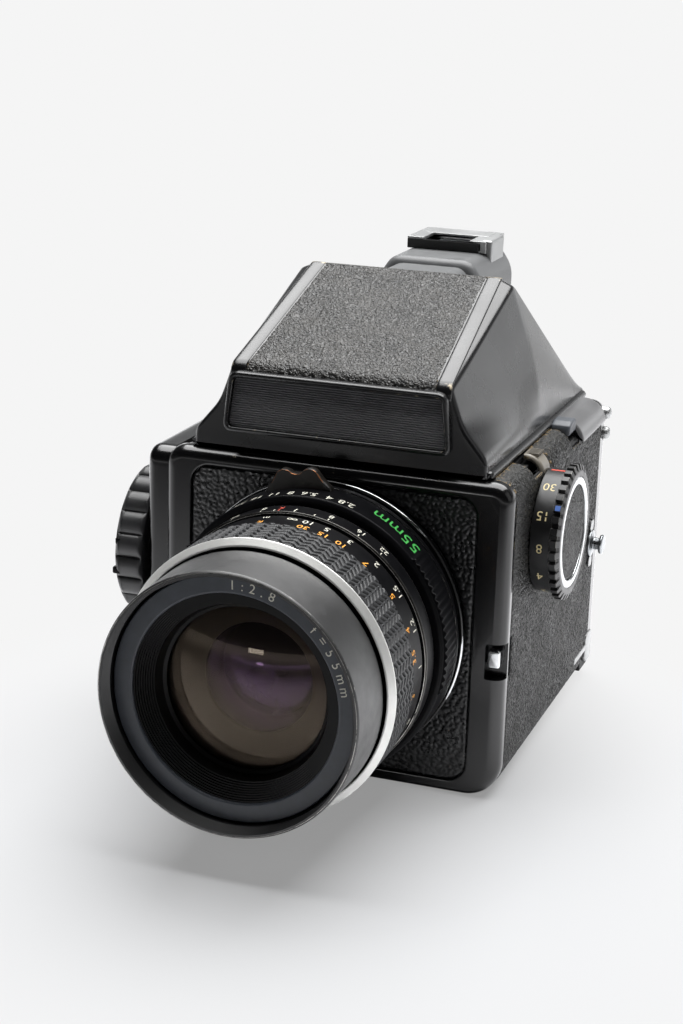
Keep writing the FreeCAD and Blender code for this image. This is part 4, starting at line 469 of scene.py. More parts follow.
def new_mesh(name, points, faces):
    """A mesh from points in millimetres."""
    mesh = bpy.data.meshes.new(name)
    mesh.from_pydata((np.asarray(points) * MM).tolist(), [], [[int(i) for i in face] for face in faces])
    return mesh


def merged(mesh, closed=True):
    """Points that lie together become one, and the faces of a closed surface turn outward."""
    work = bmesh.new()
    work.from_mesh(mesh)
    bmesh.ops.remove_doubles(work, verts=work.verts, dist=2e-6)
    if closed:
        bmesh.ops.recalc_face_normals(work, faces=work.faces)
    work.to_mesh(mesh)
    work.free()


def add_piece(name, parts, material, body, stands_for=(), closed=True, crease=38.0):
    """A piece made of one or several surfaces, in the frame's millimetres, riding on a body."""
    points, faces, wear_and_shade = joined(parts) if isinstance(parts, list) else parts
    mesh = new_mesh(name, points, faces)
    layer = mesh.attributes.new("wear_and_shade", "FLOAT", "POINT")
    layer.data.foreach_set("value", np.broadcast_to(wear_and_shade, len(points)).astype(np.float32))
    merged(mesh, closed)
    mesh.shade_smooth()
    mesh.set_sharp_from_angle(angle=math.radians(crease))
    mesh.materials.append(material)
    thing = bpy.data.objects.new(name, mesh)
    scene.collection.objects.link(thing)
    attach(thing, body)
    if stands_for:
        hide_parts(*stands_for)
    return thing


def rounded(points, radius, steps=4, closed=True):
    """Corners softened: each turns into a curve whose ends lie a radius away along its two sides.

    A point of the curve is (1-t)^2 A + 2t(1-t) P + t^2 B for corner P. One more point is kept on each side
    so that the flats stay flat. Returned with a wear share, one at the corners and nothing on the flats.
    """
    corner = np.asarray(points, float)
    radius = np.broadcast_to(np.asarray(radius, float), len(corner))
    before, after = np.roll(corner, 1, 0) - corner, np.roll(corner, -1, 0) - corner
    far, near = np.linalg.norm(before, axis=1), np.linalg.norm(after, axis=1)
    reach = np.minimum(radius, 0.4 * np.minimum(far, near))
    t = np.concatenate([[-0.22], np.linspace(0.0, 1.0, steps + 1), [1.22]])
    start = (corner + before * (reach / np.maximum(far, 1e-9))[:, None])[:, None]
    end = (corner + after * (reach / np.maximum(near, 1e-9))[:, None])[:, None]
    inside = np.clip(t, 0.0, 1.0)[None, :, None]
    past_start = np.where(t < 0, -t, 0.0)[None, :, None]
    past_end = np.where(t > 1, t - 1, 0.0)[None, :, None]
    tip = corner[:, None]
    curve = (1 - inside) ** 2 * start + 2 * inside * (1 - inside) * tip + inside ** 2 * end
    hold = past_start * (start - tip) + past_end * (end - tip)
    turn = np.abs(before[:, 0] * after[:, 1] - before[:, 1] * after[:, 0]) / np.maximum(far * near, 1e-9)
    wear_and_shade = (1.0 - 2.0 * np.abs(inside[:, :, 0] - 0.5)) ** 0.5 * turn[:, None]
    path = (curve + hold).reshape(-1, 2)
    wear_and_shade = np.where(reach[:, None] > 1e-6, wear_and_shade, 0.0).reshape(-1)
    if not closed:
        path = np.concatenate([corner[:1], path[len(t):-len(t)], corner[-1:]])
        wear_and_shade = np.concatenate([[0.0], wear_and_shade[len(t):-len(t)], [0.0]])
    return path, wear_and_shade


def lathe(profile, wear_and_shade=0.0, segments=180, centre=(0.0, AXIS), axis="y", swell=None, closed=True):
    """A profile (along, radius) carried round an axis: x = r sin a, z = r cos a, y = the face less along.

    About X it is y = -r sin a, z = r cos a, x = along. Swell adds to the radius at each row and angle.
    """
    angle = np.arange(segments) * TAU / segments
    along = np.repeat(profile[:, :1], segments, 1)
    radius = np.repeat(profile[:, 1:], segments, 1)
    if swell is not None:
        radius = radius + swell(along, angle[None, :] + 0 * radius)
    side, rise = radius * np.sin(angle), radius * np.cos(angle)
    if axis == "y":
        points = np.stack([centre[0] + side, FACE - along, centre[1] + rise], -1)
    else:
        points = np.stack([along, centre[0] - side, centre[1] + rise], -1)
    faces = grid_faces(len(profile), segments, closed, True)
    return points.reshape(-1, 3), faces, np.repeat(np.broadcast_to(wear_and_shade, len(profile)), segments)


def lettering(words, size):
    """Figures as a flat mesh with its middle at zero: points in millimetres, and faces."""
    curve = bpy.data.curves.new("figures", "FONT")
    curve.body = words
    curve.size = size
    curve.align_x = "CENTER"
    curve.align_y = "CENTER"
    curve.resolution_u = 3
    thing = bpy.data.objects.new("figures", curve)
    scene.collection.objects.link(thing)
    bpy.context.view_layer.update()
    mesh = bpy.data.meshes.new_from_object(thing.evaluated_get(bpy.context.evaluated_depsgraph_get()))
    points = np.empty(len(mesh.vertices) * 3)
    mesh.vertices.foreach_get("co", points)
    faces = [list(face.vertices) for face in mesh.polygons]
    bpy.data.objects.remove(thing)
    bpy.data.curves.remove(curve)
    bpy.data.meshes.remove(mesh)
    return points.reshape(-1, 3)[:, :2], faces


# Painted figures and lines lie this far above their surface.
PAINT_LIFT = 0.04


def ring_figures(entries, radius):
    """Figures laid on a ring about the lens axis, tops toward the front: (words, degrees, ahead, size)."""
    parts = []
    for words, degrees, ahead, size in entries:
        flat, faces = lettering(words, size)
        angle = math.radians(degrees) - flat[:, 0] / radius
        points = np.stack([(radius + PAINT_LIFT) * np.sin(angle), FACE - ahead - flat[:, 1],
                           AXIS + (radius + PAINT_LIFT) * np.cos(angle)], -1)
        parts.append((points, faces, 0.0))
    return parts


def ring_ticks(entries, radius):
    """Painted lines on a ring about the lens axis: (degrees, from ahead, to ahead, width)."""
    parts = []
    for degrees, low, high, width in entries:
        half = width / 2 / radius
        angle = math.radians(degrees) + np.array([-half, half, half, -half])
        ahead = np.array([low, low, high, high])
        points = np.stack([(radius + PAINT_LIFT) * np.sin(angle), FACE - ahead,
                           AXIS + (radius + PAINT_LIFT) * np.cos(angle)], -1)
        parts.append((points, [[0, 3, 2, 1]], 0.0))
    return parts


def face_figures(words, degrees, radius, ahead, size):
    """Figures on a face that looks ahead, bent round the lens axis with their tops outwards."""
    flat, faces = lettering(words, size)
    angle = math.radians(degrees) + flat[:, 0] / radius
    reach = radius + flat[:, 1]
    points = np.stack([reach * np.sin(angle), np.full(len(flat), FACE - ahead - PAINT_LIFT),
                       AXIS + reach * np.cos(angle)], -1)
    return points, faces, 0.0


def corner_distance(side, rise):
    """Signed distance from a square corner, by how far a point lies past each of its two sides."""
    return np.minimum(np.maximum(side, rise), 0.0) + np.hypot(np.maximum(side, 0), np.maximum(rise, 0))


def box_reach(angle, half, low, high, corner_low, corner_high, middle=AXIS):
    """Distance from an axis to a rounded rectangle in each direction, halved down on its signed distance.

    The half width may differ from one direction to another.
    """
    inner, outer = np.zeros_like(angle), np.full_like(angle, 120.0)
    for _ in range(34):
        reach = (inner + outer) / 2
        x, z = reach * np.sin(angle), middle + reach * np.cos(angle)
        corner = np.where(z > middle, corner_high, corner_low)
        side = np.abs(x) - half + corner
        rise = np.abs(z - (low + high) / 2) - (high - low) / 2 + corner
        apart = corner_distance(side, rise) - corner
        inner, outer = np.where(apart < 0, reach, inner), np.where(apart < 0, outer, reach)
    return (inner + outer) / 2


def ring_stack(rows, middle=(0.0, AXIS)):
    """Outlines about the lens axis at several places along it: each row is (reach in each direction, y)."""
    count = len(rows[0][0])
    angle = np.arange(count) * TAU / count
    points = [np.stack([middle[0] + reach * np.sin(angle), np.full(count, y),
                        middle[1] + reach * np.cos(angle)], -1) for reach, y in rows]
    return np.concatenate(points)


def side_stack(rows, middle):
    """Outlines about an axis along X by rows (reach in each direction, x), the first direction being up."""
    return ring_stack(rows, middle)[:, [1, 0, 2]]


def hollowed(thing, cutters):
    """A piece with closed shapes taken out of it; the shapes are removed afterwards."""
    for cutter in cutters:
        step = thing.modifiers.new("hollow", "BOOLEAN")
        step.operation = "DIFFERENCE"
        step.solver = "EXACT"
        step.object = cutter
    bpy.context.view_layer.update()
    graph = bpy.context.evaluated_depsgraph_get()
    mesh = bpy.data.meshes.new_from_object(thing.evaluated_get(graph))
    thing.modifiers.clear()
    old = thing.data
    thing.data = mesh
    bpy.data.meshes.remove(old)
    for cutter in cutters:
        bpy.data.objects.remove(cutter)
    mesh.shade_smooth()
    mesh.set_sharp_from_angle(angle=math.radians(32.0))


def cutting_shape(points, faces):
    """A closed shape that is only used to take something out of a piece."""
    mesh = new_mesh("cutter", points, faces)
    merged(mesh)
    thing = bpy.data.objects.new("cutter", mesh)
    scene.collection.objects.link(thing)
    return thing


def extruded(path, stations, axis="y"):
    """A closed outline carried along an axis by stations (place, inset), the inset measured square to it."""
    following, previous = np.roll(path, -1, 0), np.roll(path, 1, 0)
    run = following - previous
    run /= np.maximum(np.linalg.norm(run, axis=1), 1e-9)[:, None]
    area = 0.5 * np.sum(path[:, 0] * following[:, 1] - following[:, 0] * path[:, 1])
    inward = np.stack([-run[:, 1], run[:, 0]], -1) * (1.0 if area > 0 else -1.0)
    rows = []
    for place, inset in stations:
        flat = path + inward * inset
        rows.append(np.insert(flat, "xyz".index(axis), place, axis=1))
    return np.concatenate(rows), tube_faces(len(stations), len(path)), 0.0


def soft_ends(start, end, radius_start, radius_end, steps=3):
    """Stations whose inset follows a quarter circle at each end, so that the end edges are rounded."""
    turn = np.linspace(0.0, math.pi / 2, steps + 1)
    sign = 1.0 if end > start else -1.0
    first = [(start + sign * radius_start * (1 - math.sin(a)), radius_start * (1 - math.cos(a)))
             for a in turn[::-1]]
    last = [(end - sign * radius_end * (1 - math.sin(a)), radius_end * (1 - math.cos(a))) for a in turn]
    keep = 0.3 * sign
    return first + [(first[-1][0] + keep, 0.0), (last[0][0] - keep, 0.0)] + last


def turned(name, profile, radius, material, body, slot, stands_for=(), steps=4, segments=180, wear_and_shade=0.0,
           crease=38.0, closed=True, **place):
    """A turned piece from a profile (along, radius) with softened corners."""
    path, mark = rounded(profile, radius, steps, closed)
    shape = lathe(path, mark * wear_and_shade, segments, closed=closed, **place)
    return add_piece(name, shape, material, body, stands_for, crease=crease)


def pressed(name, outline, radius, stations, material, stands_for=(), steps=4, axis="y", body="body",
            crease=40.0):
    """A piece carried along an axis from an outline with softened corners."""
    path, _ = rounded(outline, radius, steps)
    return add_piece(name, extruded(path, stations, axis), material, body, stands_for, crease=crease)


def slab_on(axis, low_u, high_u, low_v, high_v, corner, span, soft):
    """A plate with rounded corners and softened ends along one axis."""
    path, _ = rounded([(low_u, low_v), (high_u, low_v), (high_u, high_v), (low_u, high_v)], corner, 5)
    return extruded(path, soft_ends(*span, soft, soft), axis)


def trapezoid(low_half, high_half, low, high, radius, inset=0.0):
    """A trapezoid's outline with rounded corners, drawn in by an inset."""
    low_half, high_half, low, high = low_half - inset, high_half - inset, low + inset, high - inset
    points = [(-low_half, low), (low_half, low), (high_half, high), (-high_half, high)]
    return rounded(points, max(radius - inset, 0.3), 6)[0]


def run_along(line):
    """How far along a line each of its points lies."""
    return np.concatenate([[0.0], np.cumsum(np.hypot(*np.diff(line, axis=0).T))])


def at_run(u, run, pairs):
    """Both values of a line's points, read at given distances along it."""
    return np.interp(u, run, pairs[:, 0]), np.interp(u, run, pairs[:, 1])


# Pebbled skins

def cells(u, v, size, seed):
    """Distances to the nearest and second nearest of randomly shifted cell centres, in cells."""
    u, v = u / size, v / size
    u, v = u + 0.35 * v, 1.15 * v
    bend = 0.24 * np.sin(1.3 * v + seed)
    u, v = u + bend, v + 0.24 * np.sin(1.1 * u - 0.7 * seed)
    i, j = np.floor(u), np.floor(v)
    first, second = np.full(u.shape, 9.0), np.full(u.shape, 9.0)
    for di in (-1, 0, 1):
        for dj in (-1, 0, 1):
            a, b = i + di, j + dj
            turn = np.sin(a * 127.1 + b * 311.7 + seed) * 43758.5453
            other = np.sin(a * 269.5 + b * 183.3 + seed) * 22578.1459
            apart = np.hypot(u - a - turn + np.floor(turn), v - b - other + np.floor(other))
            second = np.minimum(second, np.maximum(first, apart))
            first = np.minimum(first, apart)
    return first, second


def pebbled(u, v, size, seed):
    """Height of embossed skin, from nothing in its creases to one on its pebbles.

    Creases follow where the two nearest cell centres are equally far; their width changes slowly, so that
    some pebbles run together as on the real skin.
    """
    first, second = cells(u, v, size, seed)
    wide = 0.34 + 0.14 * np.sin(u / (2.3 * size) + 1.1 * seed) * np.sin(v / (2.9 * size))
    crease = np.clip((second - first) / wide, 0.0, 1.0)
    crease = crease * crease * (3 - 2 * crease)
    return crease * (1.0 - 0.4 * first ** 2)


def round_box(u, v, low_u, high_u, low_v, high_v, corner):
    """Signed distance to a rectangle with rounded corners."""
    side = np.abs(u - (low_u + high_u) / 2) - (high_u - low_u) / 2 + corner
    rise = np.abs(v - (low_v + high_v) / 2) - (high_v - low_v) / 2 + corner
    return corner_distance(side, rise) - corner


def even_grid(low_u, high_u, low_v, high_v, step):
    """Two grids of places about a step apart, the first running down the rows."""
    rows = int((high_u - low_u) / step) + 2
    columns = int((high_v - low_v) / step) + 2
    return np.meshgrid(np.linspace(low_u, high_u, rows), np.linspace(low_v, high_v, columns), indexing="ij")


def snapped(u, v, outline, step):
    """Grid places moved onto an outline where they lie just outside it; then each place's distance outside.

    outline gives the signed distance; its slope is taken over a hundredth of a millimetre.
    """
    far = outline(u, v)
    slope_u = (outline(u + 0.01, v) - far) / 0.01
    slope_v = (outline(u, v + 0.01) - far) / 0.01
    near = (far > 0) & (far < step * 1.05)
    steep = np.maximum(slope_u ** 2 + slope_v ** 2, 0.2)
    u = np.where(near, u - far * slope_u / steep, u)
    v = np.where(near, v - far * slope_v / steep, v)
    return u, v, np.where(near, 0.0, far)


def add_skin(name, base, normal, u, v, apart, body, stands_for=(), lift=0.05, depth=0.3, size=1.55, seed=3.0,
             material=LEATHER, torn=0.0):
    """A pebbled sheet on a grid of points: each moves out along its normal by lift and the pebble's height.

    apart is each point's distance outside the sheet's outline, negative within. The height dies away at the
    outline, only faces within it are kept, and the border is folded back under the sheet.
    """
    height = pebbled(u, v, size, seed)
    rise = lift + depth * (0.3 + 0.7 * height) * np.clip(-apart / 0.6, 0.0, 1.0)
    points = (base + normal * rise[..., None]).reshape(-1, 3)
    under = (base - normal * 0.4).reshape(-1, 3)
    faces = grid_faces(*u.shape, False, False)
    faces = faces[(apart.reshape(-1)[faces] < 1e-6).all(1)]
    sides = np.stack([faces, np.roll(faces, -1, 1)], -1).reshape(-1, 2)
    code = sides.min(1) * len(points) + sides.max(1)
    _, where, times = np.unique(code, return_index=True, return_counts=True)
    border = sides[where[times == 1]]
    fold = np.stack([border[:, 1], border[:, 0], border[:, 0] + len(points), border[:, 1] + len(points)], -1)
    used, faces = np.unique(np.concatenate([faces, fold]), return_inverse=True)
    everything = np.concatenate([points, under])[used]
    # The height is also handed to the finish, which paints shade in the creases and a highlight on the tops;
    # torn adds rubbed fibres.
    mark = np.concatenate([(height + torn).reshape(-1), np.zeros(len(under))])[used]
    add_piece(name, (everything, faces.reshape(-1, 4), mark), material, body, stands_for,
              closed=False, crease=75.0)


def flat_skin(name, place, normal, u, v, apart, body, stands_for=(), **look):
    """A pebbled sheet on a plane: one of the three places is a single number."""
    base = np.stack([axis + 0.0 * u for axis in place], -1)
    add_skin(name, base, np.broadcast_to(normal, base.shape), u, v, apart, body, stands_for, **look)


# Lens

def build_mount():
    """Chrome mount ring given black enamel as a painted reflection of the dim room, with three chrome arcs as
    painted highlights; aperture ring with ribbed finger grips, coupling claw.
    """
    # The mount ring is chrome; its black enamel here is a painted reflection of the dim room.
    turned("mount_ring_turned", [(-3.2, 30.95), (-3.2, 28.0), (5.2, 28.0), (5.2, 35.1), (4.3, 35.1),
                                 (3.9, 33.5), (-1.2, 33.5), (-1.2, 30.95)], 0.3, ENAMEL, "body", "chrome",
           ["lens_mount_ring"])
    section, _ = rounded([(4.4, 34.55), (5.3, 34.45), (5.38, 34.9), (5.2, 35.22), (4.4, 35.22)], 0.12, 2)
    count = 60
    thin = np.clip(np.minimum(np.arange(count), np.arange(count)[::-1]) / 9.0, 0.25, 1.0)[:, None]
    reach = 35.0 + (section[None, :, 1] - 35.0) * thin
    # Chrome arcs where the ring shows bright reflections: painted highlights.
    for place, start, end in (("upper", 6.0, 48.0), ("left", -60.0, -20.0), ("lower", 86.0, 117.0)):
        angle = np.radians(np.linspace(start, end, count))[:, None]
        points = np.stack([reach * np.sin(angle), FACE - 5.0 - (section[None, :, 0] - 5.0) * thin,
                           AXIS + reach * np.cos(angle)], -1).reshape(-1, 3)
        add_piece("mount_ring_painted_highlight_arc_" + place, (points, tube_faces(count, len(section)), 0.0), CHROME,
                  "body", crease=60.0)

    def grips(along, angle):
        """Two raised arcs whose height follows a cosine, one rib every 1.85 mm of turn."""
        degrees = np.degrees((angle + math.pi) % TAU - math.pi)
        arc = np.maximum(28.5 - np.abs(degrees - 76.5), 28.5 - np.abs(degrees + 83.5))
        inside = np.clip(arc / 1.2, 0.0, 1.0) * ((along > 12.6) & (along < 17.7))
        return inside * (0.5 + 0.3 * np.cos(np.radians(degrees) * 34.5 / 1.85 * TAU))

    turned("aperture_ring_turned", [(6.5, 28.95), (6.5, 34.5), (8.0, 34.5), (8.0, 34.2), (8.4, 34.2),
                                    (8.4, 34.5), (17.6, 34.5), (17.9, 34.2), (18.2, 33.6), (18.2, 28.95)],
           0.12, ANODISED, "aperture", "black_anodised", ["aperture_ring"], steps=2, segments=720, wear_and_shade=0.6,
           swell=grips)

    outline = [(-8.2, 33.1), (8.2, 33.1), (8.2, 34.3), (6.4, 36.2), (4.8, 38.7), (3.4, 39.3), (1.9, 38.9),
               (1.2, 38.2), (0.0, 37.9), (-1.2, 38.2), (-1.9, 38.9), (-3.4, 39.3), (-4.8, 38.7), (-6.4, 36.2),
               (-8.2, 34.3)]
    path, _ = rounded(outline, 0.5, 3)
    turn = math.radians(-7.7)
    rings = []
    for ahead, grow in ((9.2, 0.0), (9.45, 0.12), (11.15, 0.12), (11.4, 0.0), (11.42, -0.3)):
        x = path[:, 0] * (1 + (grow - 0.12) / 6.0)
        z = path[:, 1] + (grow - 0.12) * (path[:, 1] > 35)
        rings.append(np.stack([x * math.cos(turn) + z * math.sin(turn), np.full(len(x), FACE - ahead),
                               AXIS + z * math.cos(turn) - x * math.sin(turn)], -1))
    count = len(path)
    share = np.repeat([0.1, 0.25, 0.38, 0.64, 0.1], count) * np.tile(0.35 + 0.65 * (path[:, 1] > 36.0), 5)
    add_piece("aperture_claw_cast", (np.concatenate(rings), tube_faces(5, count), share), CLAW_ENAMEL,
              "aperture", ["aperture_claw"])


def build_scales():
    """Depth scale with a painted highlight along its thin edge, focusing scale, bright front trim and rubber
    grip.
    """
    turned("depth_scale_turned", [(20.3, 28.9), (20.3, 32.8), (25.2, 32.8), (25.7, 32.45), (25.7, 28.9)],
           0.14, ANODISED, "body", "black_anodised", ["depth_scale_ring"], steps=3, wear_and_shade=1.0)
    turned("depth_scale_painted_highlight", [(25.18, 32.7), (25.18, 32.88), (25.42, 32.84), (25.62, 32.6),
                                       (25.5, 32.4)], 0.05, EDGE_PAINTED_HIGHLIGHT, "body", "satin_alloy", steps=2)
    turned("focus_ring_turned", [(27.0, 28.95), (27.0, 32.2), (34.0, 32.2), (34.0, 31.6), (46.8, 31.6),
                                 (46.8, 30.8), (28.8, 30.8), (28.8, 28.95)], 0.15, ANODISED, "focus",
           "black_anodised", ["focus_ring"], steps=3, wear_and_shade=0.6)
    turned("focus_trim_turned", [(46.8, 30.8), (46.8, 32.75), (47.1, 32.75), (48.3, 31.35), (48.3, 30.95),
                                 (47.7, 30.8)], 0.1, TRIM_PLATE, "focus", "satin_alloy", ["focus_front_ring"],
           steps=3, segments=256)

    across, around, teeth = 78, 1200, 60
    start, end = 34.15, 46.65
    along = np.linspace(start, end, across)
    angle = np.arange(around) * TAU / around
    lean = np.abs((angle * teeth / TAU) % 1.0 - 0.5) * 2.0
    slit = ((along[:, None] / 2.05) + 0.8 * lean[None, :]) % 1.0
    cut = np.clip(1.5 - np.abs(slit - 0.5) * 6.0, 0.0, 1.0)
    ridge = np.clip(np.minimum(lean, 1.0 - lean) / 0.14 - 0.3, 0.0, 1.0)[None, :]
    ends = np.clip(np.minimum(along - start, end - along) / 0.4, 0.0, 1.0)[:, None]
    stand = 1.0 - 0.85 * cut * ridge
    radius = 31.75 + 0.95 * ends * stand
    skin = np.stack([radius * np.sin(angle), np.repeat(FACE - along[:, None], around, 1),
                     AXIS + radius * np.cos(angle)], -1).reshape(-1, 3)
    wall = lathe(np.array([(end, 31.75), (46.8, 31.65), (46.8, 31.0), (34.0, 31.0), (34.0, 31.65),
                           (start, 31.75)]), 0.0, around, closed=False)
    # The grip's height goes to its finish: low in the slits, where it paints shade near black.
    mark = np.broadcast_to(stand * (0.6 + 0.4 * (1.0 - ridge)), (across, around)).reshape(-1)
    add_piece("focus_grip_moulded", [(skin, grid_faces(across, around, False, True), mark), wall],
              GRIP_RUBBER, "focus", ["focus_grip"], crease=70.0)


def ring_piece(name, figures, ticks, radius, material, body):
    """Painted figures (words, degrees, ahead, size) and lines on one ring of the lens."""
    parts = ring_figures(figures, radius) + ring_ticks(ticks, radius)
    add_piece(name, joined(parts), material, body, closed=False)


def build_scale_figures():
    """Generic figures of the aperture, depth and distance scales, by their degrees round the lens."""
    stops = [("22", -30.0), ("16", -22.5), ("11", -14.9), ("8", -7.9), ("5.6", -0.4), ("4", 7.9),
             ("2.8", 15.0)]
    depth = [("8", 13.9), ("16", 27.5), ("22", 39.0), ("8", -15.0), ("16", -28.4), ("22", -40.0)]
    metres = [("∞", 1.4), ("10", 8.4), ("5", 16.5), ("3", 27.1), ("2", 41.0), ("1.5", 54.9), ("1.2", 69.9),
              ("1", 86.9), (".8", 112.0), (".7", 134.0), (".6", 160.0)]
    feet = [("30", 8.5), ("15", 17.4), ("10", 25.5), ("7", 37.9), ("5", 54.4), ("4", 69.4), ("3.5", 80.7),
            ("3", 97.4), ("2.5", 122.0), ("2", 150.0)]
    lines = [(-0.6, 22.8, 25.0, 0.3)] + [(d + s, 24.0, 25.0, 0.22) for d in (8.0, 13.9, 27.5, 39.0)
                                         for s in (0.0, -2 * d - 1.2)]
    ring_piece("aperture_figures", [(w, d, 15.4, 3.3) for w, d in stops], [], 34.5, WHITE_FILL, "aperture")
    ring_piece("depth_figures", [(w, d, 22.3, 2.5) for w, d in depth], lines, 32.8, WHITE_FILL, "body")
    ring_piece("infrared_mark", [("R", -7.2, 22.4, 2.2)], [(-7.2, 23.8, 25.0, 0.3)], 32.8, RED_FILL, "body")
    ring_piece("metre_figures", [(w, d, 28.7, 2.9) for w, d in metres] + [("m", -10.0, 28.6, 2.4)], [], 32.2,
               WHITE_FILL, "focus")
    ring_piece("feet_figures", [(w, d, 32.3, 2.9) for w, d in feet] + [("ft", -10.0, 32.1, 2.4)], [], 32.2,
               ORANGE_FILL, "focus")
    ring_piece("focal_length_figures", [("55mm", 36.5, 12.6, 5.6)], [], 34.5, GREEN_FILL, "aperture")


def build_barrel():
    """Front barrel with its filter thread, engraved ring with two plain figures, and stepped cone."""
    path, wear_and_shade = rounded([(17.8, 24.9), (17.8, 26.7), (31.0, 26.7), (31.0, 28.9), (49.0, 28.9), (49.1, 30.2),
                          (49.5, 30.5), (64.1, 30.3), (64.6, 29.9), (64.6, 29.35)], 0.18, 3, closed=False)
    count = 6
    threads = np.stack([64.5 - np.repeat(np.arange(count), 2) * 0.7 - np.tile([0.0, 0.35], count),
                        np.tile([29.35, 28.98], count)], -1)
    inner = np.array([(60.0, 29.0), (58.0, 29.0), (50.5, 23.8), (50.5, 22.0), (49.5, 24.9)])
    full = np.concatenate([path, threads, inner])
    marks = np.concatenate([wear_and_shade, np.zeros(len(full) - len(path))])
    add_piece("front_barrel_turned", lathe(full, marks, 220), BARREL, "lens_front",
              ["front_barrel"], crease=30.0)
    turned("engraved_ring_turned", [(58.6, 28.4), (59.85, 28.4), (60.0, 28.2), (60.0, 24.4), (59.75, 24.05),
                                    (58.6, 24.05)], 0.12, NAME_RING_PAINTED_LIGHT, "lens_front", "black_anodised",
           ["name_ring"], steps=2, segments=220, crease=30.0)
    steps = 9
    along = 59.3 - np.arange(steps) * 0.42
    ribs = np.stack([np.repeat(along, 2), 24.04 - np.repeat(np.arange(steps), 2) * 0.4
                     + np.tile([0.0, -0.4], steps)], -1)
    wall = np.array([(53.4, 19.6), (52.9, 18.85), (52.2, 18.8), (52.2, 23.4), (58.5, 24.04)])
    add_piece("stepped_cone_turned", lathe(np.concatenate([ribs, wall]), 0.0, 220), CONE_BLACK, "lens_front",
              crease=30.0)
    figures = []
    for words, middle, pitch in (("1:2.8", 9.0, 2.3), ("f=55mm", 60.5, 3.0)):
        for place, letter in enumerate(words):
            spot = middle + math.degrees((place - (len(words) - 1) / 2) * pitch / 26.0)
            figures.append(face_figures(letter, spot, 26.0, 60.0, 3.0))
    add_piece("engraved_figures", joined(figures), WHITE_FILL, "lens_front", closed=False)


def dome(edge, crown, radius, rows=24):
    """A shallow cap from rim to middle: along = edge + (crown - edge)(1 - (r/R)^2)."""
    share = np.linspace(1.0, 0.0, rows)
    return np.stack([edge + (crown - edge) * (1 - share ** 2), radius * share], -1)


def build_glass():
    """Front element, the elements and walls seen through it, down to an opaque surface before the iris that
    carries a painted reflection.
    """
    for name, ahead, behind, radius, segments, glass, stands_for in (
            ("front_element_polished", (52.4, 56.2), (51.9, 53.0), 20.4, 128, FRONT_GLASS, ["front_glass"]),
            ("second_element", (45.0, 48.6), (44.4, 45.0), 13.0, 96, INNER_GLASS, []),
            ("third_element", (38.0, 41.5), (37.4, 37.4), 11.6, 96, PAINTED_REFLECTION_GLASS, [])):
        body = np.concatenate([dome(*ahead, radius), dome(*behind, radius)[::-1]])
        add_piece(name, lathe(body, 0.0, segments, closed=False), glass, "lens_front", stands_for,
                  crease=50.0)
    front = [(51.8, 19.4), (51.8, 23.0), (44.2, 23.0), (44.2, 12.9), (45.4, 12.9), (45.9, 13.6), (49.4, 17.2)]
    inner = [(44.3, 12.9), (44.3, 20.0), (37.0, 20.0), (37.0, 11.5), (39.0, 11.7)]
    for name, profile in (("front_cell_wall", front), ("inner_cell_wall", inner)):
        turned(name, profile, 0.2, LIT_CELL_WALL, "lens_front", "black_anodised", steps=3, segments=120)


# Body, finder and dial

# The front panel's edges: its halves right and left, and its top.
PANEL_RIGHT, PANEL_LEFT, PANEL_TOP = 35.7, 36.8, 75.2
# Axes of the release button (x, z), and of the knob, the dial, the door's hinge and its latch studs (y, z).
BUTTON = (-30.5, 10.5)
KNOB = (-19.0, 48.0)
DIAL = (-8.0, 60.2)
HINGE = (54.6, 6.0)
STUDS = ((55.6, 72.7 - 2.8), (55.6, 72.7 + 2.8))


